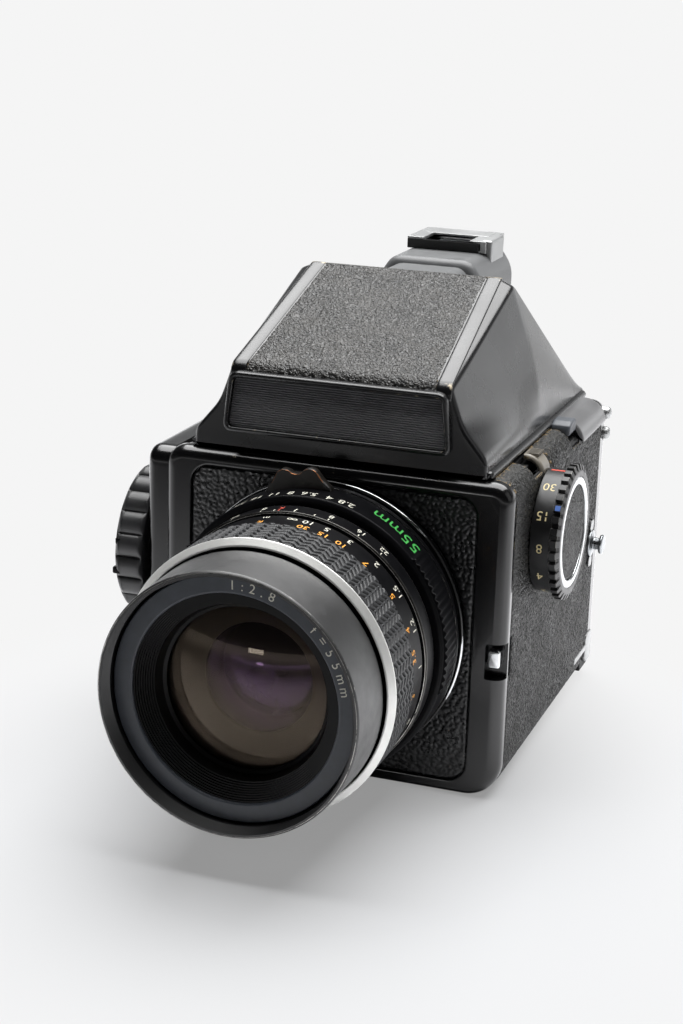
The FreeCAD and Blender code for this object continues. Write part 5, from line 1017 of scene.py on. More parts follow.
def build_front():
    """Front frame with its recess for the lens catch and bore for the release button, and its skin."""
    count = 720
    angle = np.arange(count) * TAU / count

    def rim(inset):
        return box_reach(angle, 44.0 - inset, inset, 79.0 - inset, 9.0 - inset, 5.0 - inset)

    def panel(inset):
        half = np.where(np.sin(angle) > 0, PANEL_RIGHT, PANEL_LEFT) + inset
        return box_reach(angle, half, 3.6 - inset, PANEL_TOP + inset, 5.0 + inset, 5.0 + inset)

    throat = np.full(count, 30.97)
    turn = np.linspace(0.0, math.pi / 2, 6)
    rows = [(rim(0.55), -33.0), (rim(0.55), -35.5), (rim(0.1), -35.6), (rim(0.0), -35.75), (rim(0.0), -36.8)]
    rows += [(rim(2.9 * (1 - math.cos(a))), -37.1 - 2.9 * math.sin(a)) for a in turn]
    rows += [(rim(3.1), -40.0), (panel(0.55), -40.0)]
    rows += [(panel(0.4 * (1 - math.sin(a))), -39.6 - 0.4 * math.cos(a)) for a in turn[:5:2]]
    rows += [(panel(0.0), -39.5), (panel(0.0), -38.8), (throat, -38.8), (throat, -33.0)]
    wear_and_shade = np.zeros((len(rows), count))
    top = (AXIS + rim(0.0) * np.cos(angle) > 74.5) & (np.abs(rim(0.0) * np.sin(angle)) < 43.0)
    wear_and_shade[7:10] = 0.33 + 0.05 * top
    wear_and_shade[2:4] = 0.38
    casting = add_piece("front_frame_cast", (ring_stack(rows), grid_faces(len(rows), count, True, True),
                                             wear_and_shade.reshape(-1)), ENAMEL, "body",
                        ["front_frame"], crease=32.0)
    recess, _ = rounded([(39.3, 31.0), (46.0, 31.0), (46.0, 40.0), (39.3, 40.0)], 0.6, 3)
    bore = lathe(np.array([(-8.0, 0.0), (-8.0, 3.75), (1.0, 3.75), (1.0, 0.0)]), 0.0, 48, BUTTON,
                 closed=False)
    hollowed(casting, [cutting_shape(*extruded(recess, [(-41.0, 0.0), (-36.6, 0.0)])[:2]),
                       cutting_shape(*bore[:2])])

    step = 0.31
    z, x = even_grid(3.2, 74.6, -37.2, 37.2, step)

    def outline(z, x):
        """Outside the panel, inside the mount ring, or inside the shutter button's collar."""
        sheet = round_box(z, x, 3.7, PANEL_TOP - 0.1, 0.1 - PANEL_LEFT, PANEL_RIGHT - 0.1, 4.9)
        collar = 4.7 - np.hypot(x - BUTTON[0], z - BUTTON[1])
        return np.maximum.reduce([sheet, 33.7 - np.hypot(x, z - AXIS), collar])

    z, x, apart = snapped(z, x, outline, step)
    flat_skin("front_skin_embossed", (x, -39.2, z), (0.0, -1.0, 0.0), x, z, apart, "body",
              ["front_leatherette"], depth=0.5, size=1.45, material=FRONT_LEATHER)


def side_path():
    """The body's right-hand outline from the finder over the shoulder to below the lower round.

    Returned as places (x, z) and as outward turns.
    """
    shoulder = np.radians(np.linspace(90.0, 0.0, 22))
    lower = np.radians(np.linspace(0.0, -56.0, 26))
    top = np.stack([np.linspace(37.35, 38.9, 5), np.full(5, 79.0)], -1)
    side = np.stack([np.full(150, 44.0), np.linspace(73.7, 9.3, 150)], -1)
    path = np.concatenate([top, np.stack([39.0 + 5 * np.cos(shoulder), 74.0 + 5 * np.sin(shoulder)], -1),
                           side, np.stack([35.0 + 9 * np.cos(lower), 9.0 + 9 * np.sin(lower)], -1)])
    facing = np.concatenate([np.tile([0.0, 1.0], (5, 1)), np.stack([np.cos(shoulder), np.sin(shoulder)], -1),
                             np.tile([1.0, 0.0], (150, 1)), np.stack([np.cos(lower), np.sin(lower)], -1)])
    return path, facing


def build_side_skin():
    """Skin over the right-hand side, cut round the lever, the lens catch, the strap and the rear shoulder."""
    path, facing = side_path()
    run = run_along(path)
    step = 0.31
    u, v = even_grid(0.0, run[-1], -35.8, 51.2, step)

    def outline(u, v):
        """Outside the sheet, or inside one of its cut-outs."""
        z = np.interp(u, run, path[:, 1])
        return np.maximum.reduce([
            round_box(u, v, 0.2, run[-1] - 0.2, -35.4, 50.9, 1.0),
            -round_box(z, v, 75.6, 90.0, -18.7, -3.4, 0.6), -round_box(z, v, 73.9, 90.0, 17.65, 60.0, 2.0),
            -round_box(z, v, 0.0, 11.2, 47.0, 60.0, 0.6), -round_box(z, v, 30.4, 40.6, -40.0, -33.0, 0.5)])

    u, v, apart = snapped(u, v, outline, step)
    (x, z), (aside, up) = at_run(u, run, path), at_run(u, run, facing)
    place, normal = np.stack([x, v, z], -1), np.stack([aside, np.zeros_like(u), up], -1)
    torn = 0.9 * np.exp(-u / 0.8) + 0.8 * np.exp(apart / 0.5) * (z > 73.0)
    # More rubbed fibres toward the top of the shoulder; this paler top is partly rubbing and partly a painted
    # highlight from the light above.
    torn += 0.35 * np.clip((z - 74.5) / 3.0, 0.0, 1.0)
    add_skin("side_skin_embossed", place - normal * 0.3, normal, u + 40.0, v, apart, "body",
             ["side_leatherette"], depth=0.42, size=1.45, seed=8.0, torn=torn)


def finder_outline(y):
    """Half outlines of the finder at places along it, between its front, its crown and its tail.

    Straight runs lead from one to the next. Within reach of the crown a point is
    (1-t)^2 A + 2t(1-t) B + t^2 C, with A and C on the runs and B on the crown, so that the edge is soft.
    """
    front = np.array([(37.0, 79.1), (36.8, 83.6), (30.6, 90.9), (28.6, 96.3), (27.6, 99.4), (26.6, 100.4)])
    crown = np.array([(37.0, 79.1), (37.0, 83.6), (36.0, 92.0), (32.6, 104.2), (28.2, 116.6), (24.3, 118.3)])
    tail = np.array([(37.0, 79.1), (37.0, 81.0), (36.7, 81.4), (36.0, 81.7), (35.0, 82.2), (34.0, 82.6)])
    reach, middle = 1.6, 10.5

    def straight(place):
        ahead = np.clip((place + 38.0) / 48.5, 0, 1)[:, None, None]
        behind = np.clip((place - middle) / 46.5, 0, 1)[:, None, None]
        return front + (crown - front) * ahead + (tail - crown) * behind

    t = np.clip((y - middle + reach) / (2 * reach), 0.0, 1.0)[:, None, None]
    before, after = straight(np.full_like(y, middle - reach)), straight(np.full_like(y, middle + reach))
    soft = (1 - t) ** 2 * before + 2 * t * (1 - t) * crown + t ** 2 * after
    near = (np.abs(y - middle) < reach)[:, None, None]
    return np.where(near, soft, straight(y))


def build_finder_shell():
    """The prism housing: a loft of softened outlines, rounded over at its front edge."""
    y = np.concatenate([[-38.0, -37.9, -37.6, -37.2, -36.6, -35.8, -35.0], np.linspace(-38.0, 8.9, 20)[1:],
                        np.linspace(9.2, 11.8, 8), np.linspace(12.1, 57.0, 20)])
    round_off = [0.3, 3.0, 5.0, 3.0, 0.8, 0.9]
    rows, marks = [], []
    for corners in finder_outline(y):
        full = np.concatenate([corners, corners[::-1] * [-1, 1]])
        path, wear_and_shade = rounded(full, round_off + round_off[::-1], 5)
        rows.append(path)
        marks.append(wear_and_shade * (np.abs(np.abs(path[:, 0]) - 26.0) < 3.2) * (path[:, 1] > 99.0))
    rows, marks = np.array(rows), np.array(marks)
    run = np.roll(rows, -1, 1) - np.roll(rows, 1, 1)
    run /= np.maximum(np.linalg.norm(run, axis=2), 1e-9)[..., None]
    inward = np.stack([-run[..., 1], run[..., 0]], -1)
    size = np.where((rows[..., 1] > 98.0) & (np.abs(rows[..., 0]) < 26.0), 3.0, 1.1)
    ahead = np.clip(1.0 - (y[:, None] + 38.0) / size, 0.0, 1.0)
    inset = size * (1.0 - np.sqrt(np.maximum(1.0 - ahead ** 2, 0.0)))
    rows = rows + inward * inset[..., None]
    count, across = rows.shape[:2]
    points = np.stack([rows[..., 0], np.repeat(y[:, None], across, 1), rows[..., 1]], -1).reshape(-1, 3)
    add_piece("finder_shell_cast", (points, tube_faces(count, across), (marks * 0.62).reshape(-1)),
              GLOSS_ENAMEL, "body", ["prism_housing"], crease=28.0)


def roof_line(samples):
    """The finder's middle line from the crown over the front bend to the name plate.

    Returned as places (y, z) and as outward turns.
    """
    tilt = math.atan2(17.9, 48.5)
    radius = 3.3
    slope = np.array([math.cos(tilt), math.sin(tilt)])
    up = np.array([-math.sin(tilt), math.cos(tilt)])
    corner = np.array([-38.0, 100.4])
    start = np.array([10.1, 100.4 + 48.1 * math.tan(tilt)])
    bend_start = corner + slope * radius * math.tan((math.pi / 2 - tilt) / 2)
    turn = np.linspace(math.pi / 2 + tilt, math.pi, samples // 5)[:, None]
    around = np.concatenate([np.cos(turn), np.sin(turn)], 1)
    flat = start + (bend_start - start) * np.linspace(0, 1, samples)[:, None]
    bend = bend_start - up * radius + radius * around
    down = bend[-1] + np.array([0.0, -1.0]) * np.linspace(0.0, 1.3, 5)[1:, None]
    facing = np.concatenate([np.tile(up, (samples, 1)), around[1:], np.tile([-1.0, 0.0], (4, 1))])
    return np.concatenate([flat, bend[1:], down]), facing


def build_roof():
    """Skin on the finder's roof and over its front bend, between two glossy rails."""
    line, facing = roof_line(140)
    run = run_along(line)
    half = 21.4 + (23.7 - 21.4) * np.clip(run / 51.5, 0.0, 1.0)
    step = 0.36
    u, share = np.meshgrid(np.linspace(0.0, run[-1], int(run[-1] / step) + 2), np.linspace(-1.0, 1.0, 136),
                           indexing="ij")
    wide = np.interp(u, run, half)
    x = wide * share
    apart = -np.minimum.reduce([u, run[-1] - u, wide - np.abs(x)])
    base = np.stack([x, *at_run(u, run, line)], -1)
    normal = np.stack([np.zeros_like(x), *at_run(u, run, facing)], -1)
    add_skin("finder_skin_embossed", base, normal, u + 90.0, x, apart, "body", ["finder_leatherette"],
             lift=-0.1, depth=0.42, size=1.3, seed=14.0, material=LIT_ROOF_LEATHER,
             torn=0.75 * np.exp(apart / 0.35))

    profile = np.linspace(0.0, math.pi, 13)
    middle, wide, tall = half + 2.0, 1.9, 0.55
    ends = np.clip(np.minimum(run + 0.15, run[-1] - run + 0.1) / 0.9, 0.0, 1.0) ** 0.5
    rise = -0.25 + tall * (np.sin(profile) ** 0.5)[None, :] * ends[:, None]
    near_ends = np.maximum(np.exp(-run / 1.2), 0.45 * np.exp(-np.abs(run - 50.6) / 1.6))
    along_edge = 0.5 * np.exp(-((profile - 0.5) / 0.35) ** 2)
    mark = 0.22 + 0.5 * near_ends[:, None] + 0.28 * along_edge[None, :]
    for side, sign in (("right", 1.0), ("left", -1.0)):
        x = sign * (middle[:, None] + wide * np.cos(profile)[None, :])
        points = np.stack([x, line[:, :1] + facing[:, :1] * rise, line[:, 1:] + facing[:, 1:] * rise], -1)
        add_piece("finder_rail_" + side, (points.reshape(-1, 3), tube_faces(*x.shape, False),
                                          mark.reshape(-1)), GLOSS_ENAMEL, "body",
                  crease=50.0)


def build_name_plate():
    """The bare name plate: a glossy surround with a rubbed inner edge, and a finely ribbed sunk panel."""
    rows = [(0.0, -37.2), (0.0, -39.9), (0.12, -40.3), (0.4, -40.55), (0.8, -40.6), (1.0, -40.55),
            (1.25, -40.3), (1.32, -40.0), (1.35, -39.3)]
    rings = [np.insert(trapezoid(28.7, 27.1, 84.3, 99.2, 2.6, inset), 1, y, axis=1) for inset, y in rows]
    size = len(rings[0])
    faces = grid_faces(len(rows), size, False, True).tolist() + [list(range(size))]
    wear_and_shade = np.repeat([0.0, 0.1, 0.25, 0.3, 0.3, 0.44, 0.44, 0.3, 0.1], size)
    add_piece("name_surround_cast", (np.concatenate(rings), faces, wear_and_shade), GLOSS_ENAMEL, "body",
              crease=40.0)
    ribs, columns = 22, 5
    low, high, corner = 85.6, 97.9, 1.2
    z = np.linspace(low, high, ribs * 4 + 1)
    share = (z - low) / (high - low)
    half = 27.45 + (25.85 - 27.45) * share - 0.05
    close = np.clip(corner - np.minimum(z - low, high - z), 0.0, corner)
    half -= corner - np.sqrt(corner ** 2 - close ** 2)
    rise = 0.3 * (np.abs((share * ribs) % 1.0 - 0.5) * 2.0) ** 0.7
    level = np.ones(columns)
    points = np.stack([half[:, None] * np.linspace(-1.0, 1.0, columns), (-39.05 - rise)[:, None] * level,
                       z[:, None] * level], -1)
    add_piece("name_panel_ribbed", (points.reshape(-1, 3), grid_faces(len(z), columns, False, False), 0.0),
              LIT_NAME_PANEL, "body", ["name_panel"], closed=False, crease=60.0)


def build_hump():
    """The eyepiece hump, its neck, and the shoe with its side block, bridge and spring, and a flat black
    plate in the front of its slot that is painted shade.
    """
    for name, half, bend, crown, radius, span, steps in (
            ("hump", 14.4, 10.8, 117.9, [0.5, 0.5, 4.5, 4.0, 4.0, 4.5], (30.0, 62.0, 2.2, 2.0, 5), 6),
            ("neck", 12.0, 9.0, 116.2, [0.5, 0.5, 2.5, 2.0, 2.0, 2.5], (11.0, 31.0, 0.6, 0.4), 4)):
        pressed("eyepiece_" + name + "_moulded", [(-half, 88.0), (half, 88.0), (half, 112.4), (bend, crown),
                                                  (-bend, crown), (-half, 112.4)], radius, soft_ends(*span),
                LIT_HUMP_MOULDING, steps=steps, crease=35.0)
    level = 117.9
    shoe = [(-11.0, 0.0), (11.0, 0.0), (11.0, 3.2), (6.4, 3.2), (6.4, 2.4), (9.3, 2.4), (9.3, 0.8),
            (-9.3, 0.8), (-9.3, 2.4), (-6.4, 2.4), (-6.4, 3.2), (-11.0, 3.2)]
    block = [(9.0, -2.6), (12.4, -4.2), (12.4, 3.3), (9.0, 3.3)]
    # A flat black plate across the front of the shoe's slot, from the hump's top to the rails: painted shade
    # where the slot lies dark.
    slot_shade = [(-10.9, 0.05), (9.1, 0.05), (9.1, 2.6), (-10.9, 2.6)]
    bridge = [(-8.6, 2.7), (9.2, 2.7), (9.2, 3.3), (-8.6, 3.3)]
    for name, outline, radius, steps, span, metal, stands_for, crease in (
            ("accessory_shoe_pressed", shoe, 0.22, 3, (44.5, 63.0, 0.25, 0.25, 2), SATIN_STEEL,
             ["accessory_shoe"], 32.0),
            ("shoe_side_block", block, 0.8, 4, (46.0, 58.0, 0.6, 0.6), SATIN_STEEL, [], 40.0),
            ("shoe_slot_painted_shade", slot_shade, 0.2, 2, (44.3, 45.4, 0.1, 0.1, 2), BAFFLE, [], 40.0),
            ("shoe_top_bridge", bridge, 0.2, 2, (53.5, 62.0, 0.25, 0.25, 2), SATIN_STEEL, [], 40.0)):
        pressed(name, [(x, level + z) for x, z in outline], radius, soft_ends(*span), metal,
                stands_for, steps, crease=crease)
    count = 24
    place = np.linspace(0.0, 1.0, count)
    lift = level + 0.95 + 0.75 * np.sin(math.pi * place) ** 2
    points = np.stack([np.stack([np.full(count, x), 47.0 + 13.0 * place, lift + low], -1)
                       for x, low in ((-4.2, 0.0), (4.2, 0.0), (4.2, -0.18), (-4.2, -0.18))], 1)
    add_piece("shoe_spring", (points.reshape(-1, 3), tube_faces(count, 4), 0.0), STEEL, "body",
              crease=40.0)


def build_dial_piece():
    """Speed dial: engraved band, notched rim, bright trim, skin disc, and its figures."""
    def notches(along, angle):
        """Thirty-six square notches with softened sides, only on the rim's rows."""
        wave = np.cos(36 * angle)
        return -0.95 * np.clip((wave - 0.1) / 0.25, 0.0, 1.0) * ((along > 49.38) & (along < 51.3))

    turned("speed_dial_turned", [(44.35, 3.0), (44.35, 15.3), (49.2, 15.3), (49.4, 15.5), (49.4, 16.9),
                                 (51.2, 16.9), (51.8, 15.1), (51.8, 13.9), (51.0, 13.9), (51.0, 3.0)], 0.16,
           DIAL_BLACK, "speed_dial", "black_anodised", ["shutter_speed_dial"], steps=2, segments=720,
           wear_and_shade=0.7, crease=34.0, centre=DIAL, axis="x", swell=notches)
    turned("dial_trim_turned", [(50.9, 11.9), (50.9, 13.9), (51.5, 13.95), (51.78, 13.6), (51.78, 12.2),
                                (51.5, 11.9)], 0.1, DIAL_SILVER, "speed_dial", "chrome", ["dial_trim_ring"],
           steps=2, segments=200, centre=DIAL, axis="x")
    step = 0.3
    z, y = even_grid(-12.4, 12.4, -12.4, 12.4, step)
    z, y, apart = snapped(z, y, lambda z, y: np.hypot(y, z) - 11.75, step)
    flat_skin("dial_disc_embossed", (51.2, DIAL[0] + y, DIAL[1] + z), (1.0, 0.0, 0.0), y, z, apart,
              "speed_dial", ["dial_disc"], depth=0.25, size=1.3, seed=21.0)

    def on_dial(x, radius, turn):
        """Places on the dial's band by their turn about its axis."""
        return np.stack([x, DIAL[0] - radius * np.sin(turn), DIAL[1] + radius * np.cos(turn)], -1)

    parts = []
    for words, degrees in (("30", 31.2), ("15", 61.4), ("8", 91.4), ("4", 121.5), ("2", 151.5), ("1", 181.5),
                           ("60", -29.0), ("125", -59.0), ("250", -89.0), ("500", -119.0)):
        flat, faces = lettering(words, 3.3 if len(words) < 3 else 2.5)
        parts.append((on_dial(46.8 - flat[:, 0], 15.34, math.radians(degrees) + flat[:, 1] / 15.3), faces,
                      0.0))
    add_piece("dial_figures", joined(parts), CREAM_FILL, "speed_dial", closed=False)
    for name, span, degrees, width, radius, colour in (
            ("dial_index_line", (45.2, 49.1), 1.6, 1.7, 15.35, RED_FILL),
            ("dial_sync_mark", (49.8, 51.1), 55.0, 2.2, 16.95, BLUE_FILL)):
        x, turn = np.meshgrid(span, np.radians(np.linspace(degrees - width, degrees + width, 5)),
                              indexing="ij")
        add_piece(name, (on_dial(x, radius, turn).reshape(-1, 3), grid_faces(2, 5, False, False), 0.0),
                  colour, "speed_dial", closed=False)


# Housing, controls, door and base

def build_housing_piece():
    """Cover of the winding gears: a hollow box with rounded outer edges and a hole for the knob's shaft."""
    count = 360
    angle = np.arange(count) * TAU / count

    def wall(inset):
        half = np.where(np.sin(angle) > 0, 69.5, 18.5) - inset
        return box_reach(angle, half, 1.6 + inset, 77.4 - inset, 4.0 - inset, 4.0 - inset, KNOB[1])

    hole = np.full(count, 7.8)
    turn = np.linspace(0.0, math.pi / 2, 7)
    rows = [(wall(0.0), -43.3), (wall(0.0), -43.6), (wall(0.0), -46.2)]
    rows += [(wall(2.4 * (1 - math.cos(a))), -47.6 - 2.4 * math.sin(a)) for a in turn]
    rows += [(wall(3.5), -50.0), (hole, -50.0), (hole, -48.4), (wall(3.5), -48.4), (wall(1.5), -46.5),
             (wall(1.5), -43.3)]
    wear_and_shade = np.zeros((len(rows), count))
    wear_and_shade[4:8] = 0.3
    add_piece("housing_cast", (side_stack(rows, KNOB), grid_faces(len(rows), count, True, True),
                               wear_and_shade.reshape(-1)), ENAMEL, "body", ["winding_housing"],
              crease=32.0)
    step = 0.5
    z, y = even_grid(5.0, 74.0, -34.0, 47.0, step)

    def outline(z, y):
        """Outside the sheet, or inside the ring that is left round the knob's shaft."""
        return np.maximum(round_box(z, y, 5.6, 73.4, -33.4, 46.4, 3.0),
                          9.0 - np.hypot(y - KNOB[0], z - KNOB[1]))

    z, y, apart = snapped(z, y, outline, step)
    flat_skin("housing_skin_embossed", (-50.0, y, z), (-1.0, 0.0, 0.0), y + 70.0, z, apart, "body",
              ["winding_leatherette"], depth=0.35, size=1.6)


def build_knob_piece():
    """Winding knob with a scalloped edge and a hub, and the folded crank's arm, finger post and pin."""
    def scallops(along, angle):
        """Twenty rounded lobes with narrow valleys between: a rectified sine, gone at both faces."""
        lobe = np.abs(np.sin(10 * angle)) ** 0.6
        near = np.clip(np.minimum(-51.3 - along, along + 58.3) / 0.9, 0.0, 1.0) ** 0.5
        return -1.25 * (1.0 - lobe) * near * (along < -51.2)

    outside = 19.7
    edge, _ = rounded([(-51.0, 4.0), (-51.0, 18.9), (-51.8, outside), (-57.6, outside), (-58.5, 18.8),
                       (-58.5, 15.4), (-58.2, 14.9), (-56.2, 14.5), (-56.2, 6.0), (-57.0, 5.6), (-57.0, 0.0)],
                      0.5, 5, closed=False)
    flat = np.flatnonzero(np.abs(edge[:, 1] - outside) < 1e-6)
    first = flat[len(flat) // 2]
    more = np.stack([np.linspace(-52.2, -57.2, 12), np.full(12, outside)], -1)
    path = np.concatenate([[(-51.0, 0.0)], edge[:first], more, edge[first:]])
    rim = np.where(path[:, 1] > 17.0, 1.0, 0.0)[:, None]
    add_piece("winding_knob_moulded", lathe(path, 0.0, 600, KNOB, "x", lambda a, t: scallops(a, t) * rim,
                                            closed=False),
              PLASTIC, "knob", ["winding_knob"], crease=50.0)
    arm = trapezoid(4.2, 5.4, -17.2, 13.4, 3.0)
    arm = np.stack([KNOB[0] + arm[:, 1], KNOB[1] + arm[:, 0]], -1)
    post, _ = rounded([(-57.2, 0.0), (-57.2, 3.6), (-56.4, 4.0), (-55.8, 4.0), (-55.8, 0.0)], 0.3, 4, False)
    post = lathe(post, 0.0, 64, (-31.0, KNOB[1]), "x", closed=False)
    level = np.array([(-5.9, 0.0), (-5.9, 1.3), (-5.6, 1.5), (5.6, 1.5), (5.9, 1.3), (5.9, 0.0)])
    points, pin_faces, _ = lathe(level, 0.0, 40, (0.0, 0.0), "x", closed=False)
    pin = np.stack([points[:, 2] - 57.4, points[:, 1] - 10.0, KNOB[1] - points[:, 0]], -1)
    ears = [slab_on("x", -38.2, -33.5, KNOB[1] + low, KNOB[1] + high, 0.6, (-57.0, reach), 0.4)
            for low, high, reach in ((-4.8, -2.9, -59.1), (2.9, 4.8, -58.3))]
    add_piece("winding_crank_folded", [extruded(arm, soft_ends(-57.3, -59.0, 0.3, 0.5), "x"), post,
                                       (pin, pin_faces, 0.0)] + ears,
              ANODISED, "crank", ["winding_crank"], crease=45.0)


def build_top_controls():
    """Mirror lock lever with its ribs, finder release button, and a thin shell over the rear shoulder whose
    grey is a painted reflection.
    """
    bend = np.radians(np.linspace(90.0, 0.0, 8))
    outer = [(39.2 + 4.75 * math.cos(a), 74.5 + 4.75 * math.sin(a)) for a in bend[1:]]
    inner = [(39.2 + 3.1 * math.cos(a), 74.5 + 3.1 * math.sin(a)) for a in bend[::-1]]
    path, _ = rounded([(38.4, 79.25), (39.4, 79.3)] + outer + [(43.9, 74.4), (42.4, 74.4)] + inner
                      + [(38.4, 77.6)], 0.3, 3)
    points, faces, _ = extruded(path, soft_ends(-10.9, -4.2, 0.9, 0.9, 4))
    rub = 0.42 * np.clip((points[:, 2] - 77.2) / 1.2, 0.0, 1.0)
    add_piece("lock_lever_cast", (points, faces, rub), LEVER_BRASS, "mirror_lock",
              ["mirror_lock_lever"], crease=40.0)
    ribs = [slab_on("y", 39.0, 42.2, 78.6, 79.5, 0.3, (place - 0.28, place + 0.28), 0.12)
            for place in (-9.6, -8.5, -7.4, -6.3, -5.2)]
    add_piece("lock_lever_ribs", ribs, LEVER_BRASS, "mirror_lock", crease=40.0)
    pressed("finder_button_pressed", [(18.1, 77.4), (24.9, 77.4), (24.9, 80.7), (24.2, 80.9), (20.4, 80.8),
                                      (18.4, 80.0), (18.1, 79.2)], 0.45, soft_ends(37.9, 43.1, 0.6, 0.6),
            BUTTON_GREY, ["finder_release_button"], axis="x", body="finder_button")
    line, facing = side_path()
    high = line[:, 1] > 74.2
    line, facing = line[high], facing[high]
    # A thin shell over the rear shoulder, painted mid grey as a painted reflection.
    pressed("rear_shoulder_cover", np.concatenate([line + facing * 1.3, (line - facing * 0.3)[::-1]]), 0.15,
            soft_ends(25.2, 51.1, 0.5, 0.3), SHOULDER_PAINTED_REFLECTION, steps=2)


def build_front_controls():
    """Lens catch in its recess, and the shutter button in its bright collar."""
    pad = slab_on("y", 39.7, 42.7, 33.7, 38.3, 0.8, (-36.9, -39.2), 0.5)
    stem = slab_on("y", 40.6, 41.8, 35.4, 36.6, 0.5, (-35.0, -37.2), 0.1)
    add_piece("lens_catch_turned", [pad, stem], CHROME, "lens_catch", ["lens_release_button"],
              crease=40.0)
    turned("release_collar_turned", [(-1.1, 3.75), (1.5, 3.75), (1.75, 4.3), (1.6, 5.0), (0.5, 5.5),
                                     (-1.1, 5.5)], 0.25, CHROME, "body", "chrome", ["release_collar"],
           segments=120, centre=BUTTON)
    turned("release_button_turned", [(-2.9, 0.0), (-2.9, 3.35), (2.5, 3.35), (2.85, 2.8), (2.6, 2.1),
                                     (2.25, 0.9), (2.2, 0.0)], 0.3, CHROME, "shutter_button", "chrome",
           ["shutter_release_button"], segments=120, closed=False, centre=BUTTON)


def build_rear_controls():
    """Strap lug with its plates, the hinge's strap, link and rod, and the latch's two studs on their bar."""
    turned("strap_lug_turned", [(40.6, 0.0), (40.6, 1.5), (44.0, 1.5), (44.0, 3.6), (44.8, 3.6), (45.3, 1.7),
                                (46.9, 1.6), (47.0, 2.6), (47.7, 2.7), (48.0, 2.2), (48.0, 0.0)], 0.25, STEEL,
           "body", "chrome", ["strap_lug"], segments=96, closed=False, centre=(46.0, 41.0), axis="x")
    plates = [slab_on("x", 44.2, 47.8, 41.0 + low, 41.0 + high, 1.2, (44.02, 44.6), 0.2)
              for low, high in ((3.6, 6.6), (-6.6, -3.6))]
    add_piece("strap_lug_plates", plates, SATIN_STEEL, "body", crease=40.0)
    strap = slab_on("x", 36.1, 50.2, 8.5, 10.3, 0.7, (43.3, 44.25), 0.25)
    link = slab_on("x", 49.0, 55.6, 4.9, 13.2, 1.8, (43.3, 44.3), 0.25)
    rod = lathe(np.array([(-43.1, 0.0), (-43.1, 1.1), (44.2, 1.1), (44.2, 0.0)]), 0.0, 40, HINGE, "x",
                closed=False)
    add_piece("hinge_strap_pressed", [strap, link, rod], SATIN_STEEL, "body", ["door_hinge"],
              crease=40.0)
    stud, _ = rounded([(39.8, 0.0), (39.8, 1.75), (44.7, 1.75), (45.4, 1.4), (45.7, 0.6), (45.7, 0.0)], 0.25,
                      4, closed=False)
    studs = [lathe(stud, 0.0, 48, place, "x", closed=False) for place in STUDS]
    studs.append(slab_on("x", 54.2, 55.8, 68.5, 75.1, 0.3, (39.3, 40.6), 0.2))
    add_piece("latch_studs_turned", studs, SATIN_STEEL, "latch", ["door_latch"], crease=40.0)


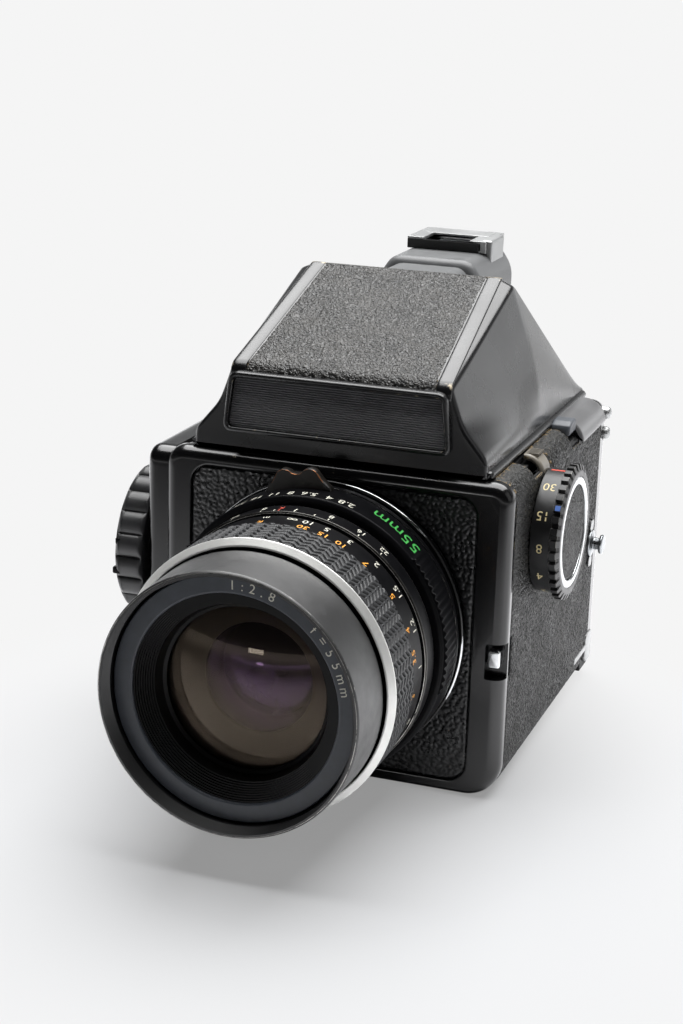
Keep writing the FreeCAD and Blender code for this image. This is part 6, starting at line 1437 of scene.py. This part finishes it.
def build_door_piece():
    """Back door: a tray with a rounded rim, notched below for the hinge, its hinge barrel, and its skin."""
    count = 480
    angle = np.arange(count) * TAU / count

    def rim(inset):
        return box_reach(angle, 44.0 - inset, 2.8 + inset, 79.0 - inset, 4.0 - inset, 4.0 - inset)

    turn = np.linspace(0.0, math.pi / 2, 6)
    pole = np.zeros(count)
    rows = [(pole, 56.2), (rim(3.0), 56.2), (rim(2.9), 51.4), (rim(0.2), 51.4), (rim(0.0), 51.6),
            (rim(0.0), 54.6)]
    rows += [(rim(3.0 * (1 - math.cos(a))), 55.0 + 3.0 * math.sin(a)) for a in turn]
    rows += [(rim(3.9), 58.0), (rim(3.95), 57.75), (rim(20.0), 57.75), (pole, 57.75)]
    wear_and_shade = np.zeros((len(rows), count))
    wear_and_shade[7:11] = 0.34
    door = add_piece("door_cast", (ring_stack(rows), grid_faces(len(rows), count, False, True),
                                   wear_and_shade.reshape(-1)), ENAMEL, "door", ["back_door"],
                     crease=32.0)
    notch, _ = rounded([(-50.0, -5.0), (50.0, -5.0), (50.0, 9.4), (-50.0, 9.4)], 0.1, 1)
    tunnel = np.array([(38.0, 0.0), (38.0, 2.1), (46.0, 2.1), (46.0, 0.0)])
    shapes = [extruded(notch, [(50.0, 0.0), (56.3, 0.0)])]
    shapes += [lathe(tunnel, 0.0, 40, place, "x", closed=False) for place in STUDS]
    hollowed(door, [cutting_shape(*shape[:2]) for shape in shapes])
    barrel = lathe(np.array([(-40.6, 1.35), (-40.6, 3.1), (40.6, 3.1), (40.6, 1.35)]), 0.0, 60, HINGE, "x")
    add_piece("door_hinge_barrel", barrel, ENAMEL, "door", crease=40.0)
    step = 0.5
    z, x = even_grid(6.0, 75.5, -40.2, 40.2, step)
    z, x, apart = snapped(z, x, lambda z, x: round_box(z, x, 6.6, 75.2, -39.8, 39.8, 3.0), step)
    flat_skin("door_skin_embossed", (x, 57.8, z), (0.0, 1.0, 0.0), x, z + 40.0, apart, "door", depth=0.3,
              size=1.6, seed=5.0)


def build_back_and_base():
    """Eyepiece rim, the base plate with its holes, and the strips along the finder's foot."""
    turned("eyepiece_rim_turned", [(-102.0, 8.5), (-102.0, 10.4), (-105.2, 10.4), (-105.9, 9.8),
                                   (-106.0, 8.4), (-105.2, 7.5), (-103.0, 7.5)], 0.4, ANODISED, "body",
           "black_anodised", ["eyepiece_frame"], segments=120, centre=(0.0, 106.5))
    base = pressed("base_plate_pressed", [(-35.0, -32.0), (35.0, -32.0), (35.0, 48.0), (-35.0, 48.0)], 3.0,
                   soft_ends(2.2, 0.0, 0.1, 0.8), ENAMEL, ["base_plate"], steps=6, axis="z",
                   crease=32.0)
    holes = []
    for place, radius in ((0.0, 7.6), (-22.0, 8.8)):
        ring = np.radians(np.arange(0, 360, 6))
        circle = np.stack([radius * np.cos(ring), place + radius * np.sin(ring)], -1)
        holes.append(cutting_shape(*extruded(circle, [(-1.0, 0.0), (3.2, 0.0)], "z")[:2]))
    hollowed(base, holes)
    for side, sign in (("right", 1.0), ("left", -1.0)):
        path, _ = rounded([(sign * 35.4, 79.2), (sign * 38.2, 79.2), (sign * 38.2, 80.2), (sign * 37.6, 80.9),
                           (sign * 35.4, 81.2)], 0.35, 4)
        points, faces, _ = extruded(path, soft_ends(-37.2, 56.8, 1.6, 0.8, 5))
        add_piece("finder_foot_" + side, (points, faces, 0.3), GLOSS_ENAMEL, "body",
                  crease=40.0)


for build in (build_mount, build_scales, build_scale_figures, build_barrel, build_glass, build_front,
              build_side_skin, build_finder_shell, build_roof, build_name_plate, build_hump, build_dial_piece,
              build_housing_piece, build_knob_piece, build_top_controls, build_front_controls,
              build_rear_controls, build_door_piece, build_back_and_base):
    build()
